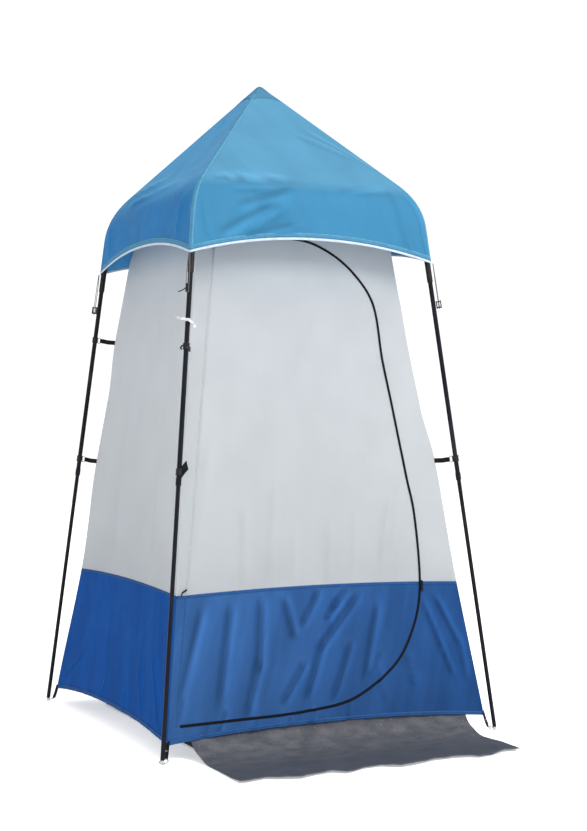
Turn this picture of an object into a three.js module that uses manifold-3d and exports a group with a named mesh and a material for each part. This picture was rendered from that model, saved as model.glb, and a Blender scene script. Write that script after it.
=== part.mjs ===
// Privacy shower tent: four leaning pole legs, bent shoulders and a four-way hub carry a pyramid canopy.
// Four walls hang inside the poles, strapped to them, and the front one has a zipped D-shaped door.
// Units are millimetres. +Z is up, the door faces -Y, and the origin is on the ground under the hub.
import * as THREE from 'three';
import { mergeVertices } from 'three/addons/utils/BufferGeometryUtils.js';
import Module from 'manifold-3d';

const wasm = await Module();
wasm.setup();

// ---- driving dimensions ----
const FOOT_HALF = 611; // a leg's centre line meets the ground this far out, in x and in y
const LEG_LEAN = 0.104; // inward lean of a leg per unit of height, in x and in y
const SHOULDER_Z = 1823; // a leg's and a roof pole's centre lines cross here
const APEX_Z = 2267; // the four roof poles' centre lines meet here
const BEND = 90; // length that the shoulder's bend takes from each centre line

const UPPER_R = 8; // upper leg and roof pole
const LOWER_R = 7; // lower leg, which plugs into the upper one
const SOCKET_R = 10.2; // elbow and hub sockets, outside
const SOCKET_BORE_R = 8.6;
const UPPER_BORE_R = 7.35;
const LOWER_BORE_R = 5.6;
const ELBOW_LOW_Z = 1551; // mouth of the elbow's lower socket
const LEG_SPLIT_Z = 862; // mouth of the upper leg
const LEG_END_Z = 14; // lower end of the lower leg, above its ring and pin

const SHEET = 2; // thickness of every fabric solid
const GAP = 0.3; // clearance between touching pieces
const CANOPY_CLEAR = SOCKET_R + 1.1; // from the poles' centre lines out to the canopy's inner face
const HEM_CORNER_Z = 1619; // canopy hem at the corners
const HEM_RISE = 60; // rise of the hem's arch at the middle of each side

const WALL_FOOT_HALF = 591.4; // the walls' planes, carried down to the ground
const WALL_LEAN = 0.1446;
const WALL_HEM_Z = 51; // lower corners of the walls
const WALL_HEM_RISE = { front: 21, right: 32, back: 32, left: 32 };
const SEAM_Z = 517; // seam between the lower and the upper wall cloth
const WALL_TOP_Z = 1781;

const HINGE_INSET = 27; // from the wall's corner to the sewn edge that the door swings on
const ZIP_X = 364; // straight stretch of the zip
const DOOR_BOTTOM_Z = 106;

const root = new THREE.Group();

// ---- materials ----
function finish(color, roughness, metalness = 0) {
  return new THREE.MeshStandardMaterial({ color, roughness, metalness });
}

const MATERIAL = {
  canopy: finish(0x5a9fcb, 0.6),
  greyCloth: finish(0xccd1d5, 0.75),
  blueCloth: finish(0x2f5ca3, 0.65),
  matCloth: finish(0x565a60, 0.8),
  pole: finish(0x1c1c1f, 0.35, 0.4),
  plastic: finish(0x161618, 0.5),
  webbing: finish(0x18181a, 0.85),
  steel: finish(0xb9bbbd, 0.3, 0.9),
  cord: finish(0xb8b8b6, 0.8),
  tape: finish(0xe6e8ec, 0.8),
};

// ---- helpers ----
function piece(parent, name, geometry, material) {
  const mesh = new THREE.Mesh(geometry, material);
  mesh.name = name;
  parent.add(mesh);
  return mesh;
}

function toManifold(geometry) {
  const bare = geometry.clone();
  bare.deleteAttribute('normal');
  bare.deleteAttribute('uv');
  const merged = mergeVertices(bare, 1e-4);
  return new wasm.Manifold(new wasm.Mesh({
    numProp: 3,
    vertProperties: new Float32Array(merged.attributes.position.array),
    triVerts: new Uint32Array(merged.index.array),
  }));
}

function toGeometry(manifold) {
  const mesh = manifold.getMesh();
  const geometry = new THREE.BufferGeometry();
  geometry.setAttribute('position', new THREE.BufferAttribute(new Float32Array(mesh.vertProperties), 3));
  geometry.setIndex(new THREE.BufferAttribute(new Uint32Array(mesh.triVerts), 1));
  geometry.computeVertexNormals();
  return geometry;
}

// One body from several overlapping ones, less the cuts.
function join(solids, cuts = []) {
  let whole = toManifold(solids[0]);
  for (const solid of solids.slice(1)) {
    whole = whole.add(toManifold(solid));
  }
  for (const cut of cuts) {
    whole = whole.subtract(toManifold(cut));
  }
  return toGeometry(whole);
}

function discShape(outer, inner = 0) {
  const shape = new THREE.Shape().absarc(0, 0, outer, 0, 2 * Math.PI);
  if (inner > 0) {
    shape.holes.push(new THREE.Path().absarc(0, 0, inner, 0, 2 * Math.PI));
  }
  return shape;
}

// A straight rod or tube along +Z from z = 0.
function rod(length, outer, inner = 0, sides = 16) {
  const options = { depth: length, bevelEnabled: false, curveSegments: sides / 2 };
  return new THREE.ExtrudeGeometry(discShape(outer, inner), options);
}

// A rod along the line from a to b.
function rodBetween(a, b, radius, sides = 12) {
  const along = b.clone().sub(a);
  const up = new THREE.Vector3(0, 0, 1);
  const turn = new THREE.Quaternion().setFromUnitVectors(up, along.clone().normalize());
  return rod(along.length(), radius, 0, sides).applyQuaternion(turn).translate(a.x, a.y, a.z);
}

function tubeAlong(path, radius, steps, sides, inner = 0) {
  const options = { steps, extrudePath: path, curveSegments: sides / 2 };
  return new THREE.ExtrudeGeometry(discShape(radius, inner), options);
}

// A closed solid between two equal grids of points, outer[row][column] and inner[row][column].
function sheetBetween(outer, inner) {
  const rows = outer.length;
  const columns = outer[0].length;
  const positions = [];
  const index = [];
  for (const grid of [outer, inner]) {
    grid.flat().forEach((p) => positions.push(p.x, p.y, p.z));
  }
  const at = (side, row, column) => side * rows * columns + row * columns + column;
  const quad = (a, b, c, d) => index.push(a, b, c, a, c, d);
  for (let r = 0; r < rows - 1; r++) {
    for (let c = 0; c < columns - 1; c++) {
      quad(at(0, r, c), at(0, r + 1, c), at(0, r + 1, c + 1), at(0, r, c + 1));
      quad(at(1, r, c), at(1, r, c + 1), at(1, r + 1, c + 1), at(1, r + 1, c));
    }
  }
  for (let c = 0; c < columns - 1; c++) {
    quad(at(0, 0, c), at(0, 0, c + 1), at(1, 0, c + 1), at(1, 0, c));
    quad(at(0, rows - 1, c + 1), at(0, rows - 1, c), at(1, rows - 1, c), at(1, rows - 1, c + 1));
  }
  for (let r = 0; r < rows - 1; r++) {
    quad(at(0, r + 1, 0), at(0, r, 0), at(1, r, 0), at(1, r + 1, 0));
    quad(at(0, r, columns - 1), at(0, r + 1, columns - 1), at(1, r + 1, columns - 1), at(1, r, columns - 1));
  }
  const geometry = new THREE.BufferGeometry();
  geometry.setAttribute('position', new THREE.Float32BufferAttribute(positions, 3));
  geometry.setIndex(index);
  geometry.computeVertexNormals();
  return geometry;
}

const range = (count) => Array.from({ length: count + 1 }, (_, i) => i / count);
const legHalf = (z) => FOOT_HALF - LEG_LEAN * z;

// ---- the frame of poles, in one upright plane for each corner ----
// A corner's own x axis points outward along the diagonal, so its poles lie in its x-z plane.
const CORNERS = [
  { name: 'front_left', turn: -135, straps: { low: 905, high: 1309 }, tensionerZ: 1498 },
  { name: 'front_right', turn: -45, straps: { low: 936 }, tensionerZ: 1472 },
  { name: 'back_right', turn: 45, straps: { low: 925, high: 1371 }, tensionerZ: 1480 },
  { name: 'back_left', turn: 135, straps: { low: 925, high: 1371 }, tensionerZ: 1483 },
];
const legOut = (z) => Math.SQRT2 * legHalf(z);
const legPoint = (z) => new THREE.Vector3(legOut(z), 0, z);
const SHOULDER = legPoint(SHOULDER_Z);
const APEX = new THREE.Vector3(0, 0, APEX_Z);
const LEG_UP = SHOULDER.clone().sub(legPoint(0)).normalize();
const ROOF_UP = APEX.clone().sub(SHOULDER).normalize();
const ROOF_LENGTH = APEX.distanceTo(SHOULDER);
const LEG_TILT = Math.atan2(LEG_UP.x, LEG_UP.z);
const ROOF_TILT = Math.atan2(ROOF_UP.x, ROOF_UP.z);
const bendStart = SHOULDER.clone().addScaledVector(LEG_UP, -BEND);
const bendEnd = SHOULDER.clone().addScaledVector(ROOF_UP, BEND);

const legLength = (z0, z1) => (z1 - z0) / LEG_UP.z;

function lowerLeg() {
  const overlap = 80;
  return rod(legLength(LEG_END_Z, LEG_SPLIT_Z + overlap), LOWER_R, LOWER_BORE_R);
}

function upperLeg() {
  const collar = 25;
  const intoElbow = 95;
  const length = legLength(LEG_SPLIT_Z, ELBOW_LOW_Z + intoElbow);
  return join([rod(length, UPPER_R, UPPER_BORE_R), rod(collar, UPPER_R + 1.2, UPPER_BORE_R)]);
}

function elbow() {
  const roofSocket = 85;
  const path = new THREE.CurvePath();
  path.add(new THREE.LineCurve3(legPoint(ELBOW_LOW_Z), bendStart));
  path.add(new THREE.QuadraticBezierCurve3(bendStart, SHOULDER, bendEnd));
  path.add(new THREE.LineCurve3(bendEnd, bendEnd.clone().addScaledVector(ROOF_UP, roofSocket)));
  return tubeAlong(path, SOCKET_R, 11, 12, SOCKET_BORE_R);
}

const HUB_SOCKET = { floor: 26, mouth: 74 }; // distances from the apex along a roof pole
const EYE = { r: 10, wire: 2.2, z: 2221 };

function hub() {
  const core = new THREE.SphereGeometry(22, 12, 8).translate(0, 0, APEX_Z - 17);
  const eye = new THREE.TorusGeometry(EYE.r, EYE.wire, 6, 14).rotateX(Math.PI / 2).translate(0, 0, EYE.z);
  const arms = [];
  const bores = [];
  for (const { turn } of CORNERS) {
    const upright = new THREE.Vector3(0, 0, 1);
    const down = ROOF_UP.clone().negate().applyAxisAngle(upright, THREE.MathUtils.degToRad(turn));
    const reach = (distance) => APEX.clone().addScaledVector(down, distance);
    arms.push(rodBetween(APEX.clone().addScaledVector(down, 8), reach(HUB_SOCKET.mouth), SOCKET_R, 12));
    bores.push(rodBetween(reach(HUB_SOCKET.floor), reach(HUB_SOCKET.mouth + 5), SOCKET_BORE_R, 12));
  }
  return join([core, eye, ...arms], bores);
}

function roofPole() {
  const intoElbow = 60;
  const from = BEND + 85 - intoElbow;
  const length = ROOF_LENGTH - from - HUB_SOCKET.floor - 1;
  return { from, geometry: rod(length, UPPER_R, UPPER_BORE_R) };
}

// Steel ring and pin: the pin stands up the leg's bore, and the ring at its foot takes the wall's strap.
function ringPin() {
  const pin = rod(70, 2.6, 0, 8).rotateY(LEG_TILT).translate(legOut(3), 0, 3);
  const washer = rod(LEG_END_Z - 7 - GAP, 6.5, 0, 12).translate(legOut(8), 0, 6);
  const ring = new THREE.TorusGeometry(13.5, 2.2, 6, 18)
    .rotateY(THREE.MathUtils.degToRad(22))
    .translate(legOut(0) - 12, 0, 7.6);
  return join([washer, pin, ring]);
}

function footStrap() {
  const top = new THREE.Vector3(cornerOut(WALL_HEM_Z + 4) + 1.4, 0, WALL_HEM_Z + 4);
  const end = new THREE.Vector3(legOut(0) - 28.6, 0, 17.4);
  const along = end.clone().sub(top);
  const tilt = Math.atan2(along.x, along.z);
  return new THREE.BoxGeometry(2, 16, along.length())
    .translate(0, 0, along.length() / 2)
    .rotateY(tilt)
    .translate(top.x, 0, top.z);
}

// Webbing between a leg and the wall's corner, on a moulded sleeve that clips round the leg.
function poleStrap(z) {
  const sleeve = rod(20, UPPER_R + 2.8, UPPER_R + 0.4).translate(0, 0, -10);
  const reach = (legOut(z) - cornerOut(z) - 1) / (LEG_UP.z - WALL_LEAN * Math.SQRT2 * LEG_UP.x);
  const start = UPPER_R + 1;
  const web = new THREE.BoxGeometry(reach - start, 2.4, 16).translate(-(reach + start) / 2, 0, 0);
  return join([sleeve, web]);
}

// ---- guy loops: a doubled cord from each canopy corner, through a sliding tensioner ----
const CORD_R = 1.25;
const CORD_TURN_R = 5; // centre line of the turn at the bottom of the loop
const CORD_OUT = 19.5; // from the leg's centre line out to the loop
const BAR_R = 2.6; // the tensioner's lower bar, inside the turn

function guyPath(tensionerZ) {
  const at = (z, side) => {
    const p = legPoint(z).addScaledVector(new THREE.Vector3(1, 0, 0), CORD_OUT);
    return p.setY(side);
  };
  const low = tensionerZ - 10;
  const turn = (degrees) => {
    const a = THREE.MathUtils.degToRad(degrees);
    return at(low - CORD_TURN_R * Math.sin(a), CORD_TURN_R * Math.cos(a));
  };
  return new THREE.CatmullRomCurve3([
    at(HEM_CORNER_Z - 3, 2.2), at(HEM_CORNER_Z - 30, 3.6), at(HEM_CORNER_Z - 60, 5),
    at(low + 30, CORD_TURN_R), at(low + 12, CORD_TURN_R),
    ...[0, 30, 60, 90, 120, 150, 180].map(turn),
    at(low + 12, -CORD_TURN_R), at(low + 30, -CORD_TURN_R),
    at(HEM_CORNER_Z - 60, -5), at(HEM_CORNER_Z - 30, -3.6), at(HEM_CORNER_Z - 3, -2.2),
  ], false, 'centripetal');
}

// Two cross bars on two cheeks, standing in the loop: its own +Z runs up the leg, its +X outward.
function tensioner() {
  const half = 9;
  const bar = (z, r) => rod(2 * half - 2, r, 0, 12).rotateY(Math.PI / 2).translate(1 - half, 0, z);
  const cheek = (side) => new THREE.BoxGeometry(3, 5, 27).translate(side * (half - 1.5), 0, 0);
  return join([cheek(1), cheek(-1), bar(-10, BAR_R), bar(10, 2)]);
}

// White tape tied round the front left leg, with two short tails.
function tieTape() {
  const loop = rod(11, UPPER_R + 1.4, UPPER_R + 0.4).translate(0, 0, -5.5);
  const tail = (direction, length) => new THREE.BoxGeometry(1.2, length, 9)
    .translate(UPPER_R + 1.2, direction * (length / 2), 0)
    .rotateX(-direction * 0.35);
  return join([loop, tail(1, 34), tail(-1, 34)]);
}

// ---- canopy: four gores, each a roof triangle rolled over the shoulder into an arched valance ----
const profileLine = (z) => ({ h: legHalf(z), z });
const flat = (p) => ({ h: p.x / Math.SQRT2, z: p.z });
const bend2d = new THREE.QuadraticBezierCurve(...[bendEnd, SHOULDER, bendStart].map((p) => {
  const q = flat(p);
  return new THREE.Vector2(q.h, q.z);
}));
const unit = (h, z) => {
  const length = Math.hypot(h, z);
  return { h: h / length, z: z / length };
};
const ROOF_DOWN = unit(legHalf(SHOULDER_Z), SHOULDER_Z - APEX_Z);
const LEG_DOWN = unit(LEG_LEAN, -1);

// Point of the side's profile, offset outward by d, where the travel is (dh, dz).
const offset = (p, along, d) => ({ h: p.h - along.z * d, z: p.z + along.h * d });

function canopyRows(u, d) {
  const rows = [];
  const bendTop = flat(bendEnd);
  const tipHalf = -6; // past the apex, so that the offset faces nearly close
  for (const t of [0, 0.33, 0.66]) {
    const h = tipHalf + (bendTop.h - tipHalf) * t;
    rows.push(offset({ h, z: APEX_Z + (h * ROOF_DOWN.z) / ROOF_DOWN.h }, ROOF_DOWN, d));
  }
  for (const t of range(5)) {
    const p = bend2d.getPoint(t);
    const tangent = bend2d.getTangent(t);
    rows.push(offset({ h: p.x, z: p.y }, { h: tangent.x, z: tangent.y }, d));
  }
  const bottom = HEM_CORNER_Z + HEM_RISE * (1 - u * u);
  const top = rows[rows.length - 1].z;
  for (const t of [0.5, 1]) {
    const z = top + (bottom - top) * t;
    rows.push({ ...offset(profileLine(z), LEG_DOWN, d), z });
  }
  return rows;
}

function canopyGore() {
  const columns = range(8).map((t) => 2 * t - 1);
  const grid = (d) => {
    const byColumn = columns.map((u) => (
      canopyRows(u, d).map(({ h, z }) => new THREE.Vector3(u * (h - GAP), -h, z))
    ));
    return byColumn[0].map((_, row) => byColumn.map((column) => column[row]));
  };
  return sheetBetween(grid(CANOPY_CLEAR + SHEET), grid(CANOPY_CLEAR));
}

// ---- walls: plates in four planes that lean inward ----
// In a wall's own frame x runs across it, y up its slope from the ground, and z out of the tent.
const WALL_TILT = Math.atan(WALL_LEAN);
const slope = (z) => z / Math.cos(WALL_TILT);
const wallHalf = (z) => WALL_FOOT_HALF - WALL_LEAN * z;
const cornerOut = (z) => Math.SQRT2 * wallHalf(z);
const SIDES = { front: 0, right: 90, back: 180, left: -90 };

function plate(shape, front = 0, back = -SHEET, curveSegments = 10) {
  const depth = front - back;
  const options = { depth, bevelEnabled: false, curveSegments };
  return new THREE.ExtrudeGeometry(shape, options).translate(0, 0, back);
}

const shapeFrom = (points) => new THREE.Shape(points.map(([x, z]) => new THREE.Vector2(x, slope(z))));

function wallUpper(narrow) {
  const half = (z) => wallHalf(z) - narrow;
  const low = SEAM_Z + GAP;
  return plate(shapeFrom([
    [-half(low), low], [half(low), low], [half(WALL_TOP_Z), WALL_TOP_Z], [-half(WALL_TOP_Z), WALL_TOP_Z],
  ]));
}

function wallLower(narrow, rise) {
  const half = (z) => wallHalf(z) - narrow;
  const high = SEAM_Z - GAP;
  const shape = new THREE.Shape();
  shape.moveTo(half(WALL_HEM_Z), slope(WALL_HEM_Z));
  shape.lineTo(half(high), slope(high));
  shape.lineTo(-half(high), slope(high));
  shape.lineTo(-half(WALL_HEM_Z), slope(WALL_HEM_Z));
  shape.quadraticCurveTo(0, slope(WALL_HEM_Z + 2 * rise), half(WALL_HEM_Z), slope(WALL_HEM_Z));
  return plate(shape);
}

// ---- door: D-shaped, sewn along its left edge, zipped round the rest ----
const hingeX = (z) => HINGE_INSET - wallHalf(z);

// The zip's line from the foot of the sewn edge round to its head. The cloth of the head hangs
// HEAD_SLACK lower when it is free of the zip, and then swings out under the canopy's hem.
const HEAD_SLACK = 62;
function doorOutline(slack) {
  const head = (x, z) => new THREE.Vector2(x, z - slack);
  const sill = new THREE.SplineCurve([
    new THREE.Vector2(-100, 117), new THREE.Vector2(87, 146), new THREE.Vector2(257, 254),
    new THREE.Vector2(328, 362), new THREE.Vector2(ZIP_X, 480),
  ]).getPoints(12);
  const arch = new THREE.SplineCurve([
    new THREE.Vector2(283, 1276), new THREE.Vector2(259, 1470), head(196, 1575 + slack * 0.6),
    head(109, 1645 + slack * 0.3), head(9, 1684), head(-150, 1684), head(-250, 1670),
    head(hingeX(1645), 1645),
  ]).getPoints(18);
  return [
    new THREE.Vector2(hingeX(DOOR_BOTTOM_Z), DOOR_BOTTOM_Z), ...sill, new THREE.Vector2(ZIP_X, 751), ...arch,
  ];
}

// Moves a closed outline outward by d.
function outset(points, d) {
  const count = points.length;
  return points.map((p, i) => {
    const before = points[(i + count - 1) % count];
    const after = points[(i + 1) % count];
    const along = after.clone().sub(p).normalize().add(p.clone().sub(before).normalize()).normalize();
    return new THREE.Vector2(p.x + along.y * d, p.y - along.x * d);
  });
}

const outlineShape = (points) => shapeFrom(points.map((p) => [p.x, p.y]));

function frontWall(geometry) {
  const opening = plate(outlineShape(outset(doorOutline(0), 0.8)), 5, -5);
  return join([geometry], [opening]);
}

function doorPart(low, high) {
  const band = new THREE.BoxGeometry(1400, slope(high) - slope(low), 20);
  band.translate(0, (slope(high) + slope(low)) / 2, 0);
  const leaf = toManifold(plate(outlineShape(doorOutline(HEAD_SLACK))));
  return toGeometry(leaf.intersect(toManifold(band)));
}

const SLIDER_Z = 511;
const SLIDER_X = ZIP_X + 7.2; // the slider runs on the wall's side of the zip, clear of the door

function zipSlider() {
  const body = new THREE.BoxGeometry(12, 17, 4).translate(0, 0, 2 + GAP);
  const bridge = new THREE.BoxGeometry(3, 10.4, 1.2).translate(0, 0, 7.5);
  const feet = [-4.6, 4.6].map((y) => new THREE.BoxGeometry(3, 1.2, 3.4).translate(0, y, 5.5));
  return join([body, bridge, ...feet]);
}

// A flat tab whose top bar turns under the slider's bridge, with the bridge's feet in its eye.
function zipPuller() {
  const shape = new THREE.Shape();
  shape.moveTo(4, 0.8);
  shape.lineTo(-4, 0.8);
  shape.absarc(0, -25, 4, Math.PI, 2 * Math.PI);
  shape.holes.push(new THREE.Path().absarc(0, -25, 1.8, 0, 2 * Math.PI));
  const eye = new THREE.BoxGeometry(5, 8, 6).translate(0, -4.8, 0);
  return join([plate(shape, 0.8, -0.8, 6)], [eye]);
}

// ---- floor cloths ----
function groundsheet() {
  return new THREE.BoxGeometry(880, 980, SHEET).translate(0, -50, SHEET / 2);
}

// Cloth sewn inside the front wall's hem, which drops under it to the ground and lies out as a mat.
function doorMat() {
  const inside = WALL_FOOT_HALF - SHEET - 1.6;
  const line = new THREE.SplineCurve([
    new THREE.Vector2(-(inside - WALL_LEAN * 84), 84), new THREE.Vector2(-(inside - WALL_LEAN * 57), 57),
    new THREE.Vector2(-585, 43), new THREE.Vector2(-607, 31), new THREE.Vector2(-640, 18),
    new THREE.Vector2(-667, 8), new THREE.Vector2(-700, 2), new THREE.Vector2(-730, 1),
  ]);
  const centre = [...line.getPoints(10), new THREE.Vector2(-975, 1)];
  const half = 502;
  const face = (side) => centre.map((p, i) => {
    const before = centre[Math.max(i - 1, 0)];
    const after = centre[Math.min(i + 1, centre.length - 1)];
    const along = after.clone().sub(before).normalize();
    const y = p.x + along.y * side * (SHEET / 2);
    const z = Math.max(p.y - along.x * side * (SHEET / 2), side < 0 ? 0 : SHEET);
    return [1, 0.5, 0, -0.5, -1].map((u) => new THREE.Vector3(u * half, y, z));
  });
  return sheetBetween(face(-1), face(1));
}

// ---- shower hook: one bent wire whose loop hangs in the hub's eye ----
const HOOK_PIVOT_Z = EYE.z - EYE.r;
function hook() {
  const wire = 2;
  const loopR = 8;
  const loopZ = EYE.wire + GAP + wire - loopR;
  const on = (degrees, r, y, z) => {
    const a = THREE.MathUtils.degToRad(degrees);
    return new THREE.Vector3(0, y + r * Math.cos(a), z + r * Math.sin(a));
  };
  const shankZ = -72;
  const shankY = -8.4; // sets the jaw back, so that the hook hangs plumb
  const jawR = 14;
  const path = new THREE.CatmullRomCurve3([
    ...[-50, -20, 15, 50, 90, 130, 165, 200, 228].map((a) => on(a, loopR, 0, loopZ)),
    new THREE.Vector3(0, 0, loopZ - loopR - 5), new THREE.Vector3(0, shankY * 0.35, loopZ - loopR - 22),
    new THREE.Vector3(0, shankY, shankZ),
    ...[205, 235, 270, 305, 340, 365].map((a) => on(a, jawR, jawR + shankY, shankZ)),
  ], false, 'centripetal');
  return tubeAlong(path, wire, 30, 8);
}

// ---- assembly ----
for (const [side, turn] of Object.entries(SIDES)) {
  const group = new THREE.Group();
  group.rotation.z = THREE.MathUtils.degToRad(turn);
  root.add(group);
  piece(group, `canopy_${side}`, canopyGore(), MATERIAL.canopy);

  const plane = new THREE.Group();
  plane.position.y = -WALL_FOOT_HALF;
  plane.rotation.x = Math.PI / 2 - WALL_TILT;
  group.add(plane);
  const narrow = side === 'front' || side === 'back' ? SHEET + 0.5 : 0;
  const upper = wallUpper(narrow);
  const lower = wallLower(narrow, WALL_HEM_RISE[side]);
  if (side !== 'front') {
    piece(plane, `wall_${side}_upper`, upper, MATERIAL.greyCloth);
    piece(plane, `wall_${side}_lower`, lower, MATERIAL.blueCloth);
    continue;
  }
  piece(plane, 'front_wall_upper', frontWall(upper), MATERIAL.greyCloth);
  piece(plane, 'front_wall_lower', frontWall(lower), MATERIAL.blueCloth);
  piece(plane, 'door_upper', doorPart(SEAM_Z + GAP, WALL_TOP_Z), MATERIAL.greyCloth);
  piece(plane, 'door_lower', doorPart(0, SEAM_Z - GAP), MATERIAL.blueCloth);
  const slider = piece(plane, 'zip_slider', zipSlider(), MATERIAL.steel);
  slider.position.set(SLIDER_X, slope(SLIDER_Z), 0);
  const puller = piece(plane, 'zip_puller', zipPuller(), MATERIAL.steel);
  puller.position.set(SLIDER_X, slope(SLIDER_Z), 5.6);
}

for (const { name, turn, straps, tensionerZ } of CORNERS) {
  const corner = new THREE.Group();
  corner.rotation.z = THREE.MathUtils.degToRad(turn);
  root.add(corner);

  const place = (mesh, z, out = 0) => {
    mesh.position.copy(legPoint(z)).add(new THREE.Vector3(out, 0, 0));
    mesh.rotation.y = LEG_TILT;
    return mesh;
  };
  place(piece(corner, `lower_leg_${name}`, lowerLeg(), MATERIAL.pole), LEG_END_Z);
  place(piece(corner, `upper_leg_${name}`, upperLeg(), MATERIAL.pole), LEG_SPLIT_Z);
  piece(corner, `shoulder_elbow_${name}`, elbow(), MATERIAL.plastic);

  const { from, geometry } = roofPole();
  const roof = piece(corner, `roof_pole_${name}`, geometry, MATERIAL.pole);
  roof.position.copy(SHOULDER).addScaledVector(ROOF_UP, from);
  roof.rotation.y = ROOF_TILT;

  piece(corner, `ring_pin_${name}`, ringPin(), MATERIAL.steel);
  piece(corner, `foot_strap_${name}`, footStrap(), MATERIAL.webbing);
  for (const [level, z] of Object.entries(straps)) {
    place(piece(corner, `pole_strap_${name}_${level}`, poleStrap(z), MATERIAL.webbing), z);
  }
  piece(corner, `guy_cord_${name}`, tubeAlong(guyPath(tensionerZ), CORD_R, 46, 8), MATERIAL.cord);
  place(piece(corner, `guy_tensioner_${name}`, tensioner(), MATERIAL.plastic), tensionerZ, CORD_OUT);
  if (name === 'front_left') {
    place(piece(corner, 'tie_tape', tieTape(), MATERIAL.tape), 1394);
  }
}

piece(root, 'top_hub', hub(), MATERIAL.plastic);
piece(root, 'shower_hook', hook(), MATERIAL.steel).position.z = HOOK_PIVOT_Z;
piece(root, 'groundsheet', groundsheet(), MATERIAL.matCloth);
piece(root, 'door_mat', doorMat(), MATERIAL.matCloth);

export default root;
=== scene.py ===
import math

import bmesh
import bpy
import numpy as np
from mathutils import Matrix, Vector


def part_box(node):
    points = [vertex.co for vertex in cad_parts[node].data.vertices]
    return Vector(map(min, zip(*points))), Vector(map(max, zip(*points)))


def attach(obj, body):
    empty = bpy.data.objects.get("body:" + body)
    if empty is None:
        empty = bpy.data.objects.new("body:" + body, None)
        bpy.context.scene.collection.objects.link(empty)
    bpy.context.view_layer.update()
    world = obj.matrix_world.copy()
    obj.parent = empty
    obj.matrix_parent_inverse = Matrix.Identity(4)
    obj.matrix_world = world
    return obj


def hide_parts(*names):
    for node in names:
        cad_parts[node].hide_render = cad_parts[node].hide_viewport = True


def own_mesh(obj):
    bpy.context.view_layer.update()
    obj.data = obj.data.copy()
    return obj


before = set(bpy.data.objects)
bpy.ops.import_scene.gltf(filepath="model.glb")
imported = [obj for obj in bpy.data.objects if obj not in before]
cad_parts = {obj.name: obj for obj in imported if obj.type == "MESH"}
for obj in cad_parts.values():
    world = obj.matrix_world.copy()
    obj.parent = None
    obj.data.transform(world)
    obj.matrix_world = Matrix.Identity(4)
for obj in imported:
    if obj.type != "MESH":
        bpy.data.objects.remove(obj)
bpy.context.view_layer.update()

# ---- driving dimensions, in metres, as in the CAD model ----
FOOT_HALF = 0.611  # a leg's centre line meets the ground this far out, in x and in y
LEG_LEAN = 0.104
SHOULDER_Z = 1.823
APEX_Z = 2.267
CANOPY_CLEAR = 0.0127  # from the poles' centre lines out to the middle of the canopy's cloth
HEM_CORNER_Z = 1.619
HEM_RISE = 0.060
WALL_FOOT_HALF = 0.5914
WALL_LEAN = 0.1446
WALL_TOP_Z = 1.781
WALL_HEM_Z = 0.051
SEAM_CORNER_Z = 0.509  # the seam between the blue and the grey cloth, at the walls' corners
SEAM_RISE = 0.013
HINGE_INSET = 0.027
CLOTH = 0.0008  # thickness of the cloth
CORD_DIAMETER = 0.0025

SIDES = {"front": 0, "right": 90, "back": 180, "left": -90}
CORNERS = {"front_left": -135, "front_right": -45, "back_right": 45, "back_left": 135}
# The corner at a wall's left end and at its right end, for someone outside who faces it.
WALL_ENDS = {
    "front": ("front_left", "front_right"),
    "right": ("front_right", "back_right"),
    "back": ("back_right", "back_left"),
    "left": ("back_left", "front_left"),
}


def leg_half(z):
    return FOOT_HALF - LEG_LEAN * z


def wall_half(z):
    return WALL_FOOT_HALF - WALL_LEAN * z


def hinge_x(z):
    """The sewn edge that the door swings on, in the front wall."""
    return HINGE_INSET - wall_half(z)


WALL_TILT = math.atan(WALL_LEAN)
LEG_TILT = math.atan(math.sqrt(2) * LEG_LEAN)


# ---- camera ----
def make_camera():
    data = bpy.data.cameras.new("camera")
    data.lens = 68.0
    data.sensor_width = 36.0
    camera = bpy.data.objects.new("camera", data)
    camera.location = (-2.349, -5.188, 1.080)
    aim = Vector((0.110, -0.053, 1.086)) - camera.location
    roll = Matrix.Rotation(math.radians(-0.07), 4, "Z")
    camera.rotation_euler = (aim.to_track_quat("-Z", "Y").to_matrix().to_4x4() @ roll).to_euler()
    bpy.context.scene.collection.objects.link(camera)
    bpy.context.scene.camera = camera


make_camera()


# ---- node materials ----
WAVE_SCALE = 0.314  # scale of a wave texture that repeats once a metre
WHITE = (1.0, 1.0, 1.0)
# How far apart things are that repeat, in metres.
THREAD_PERIOD = 0.0009
MAT_THREAD_PERIOD = 0.0022
RIB_PERIOD = 0.0016
STITCH_PERIOD = 0.0042
TOOTH_PERIOD = 0.0024


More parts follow.
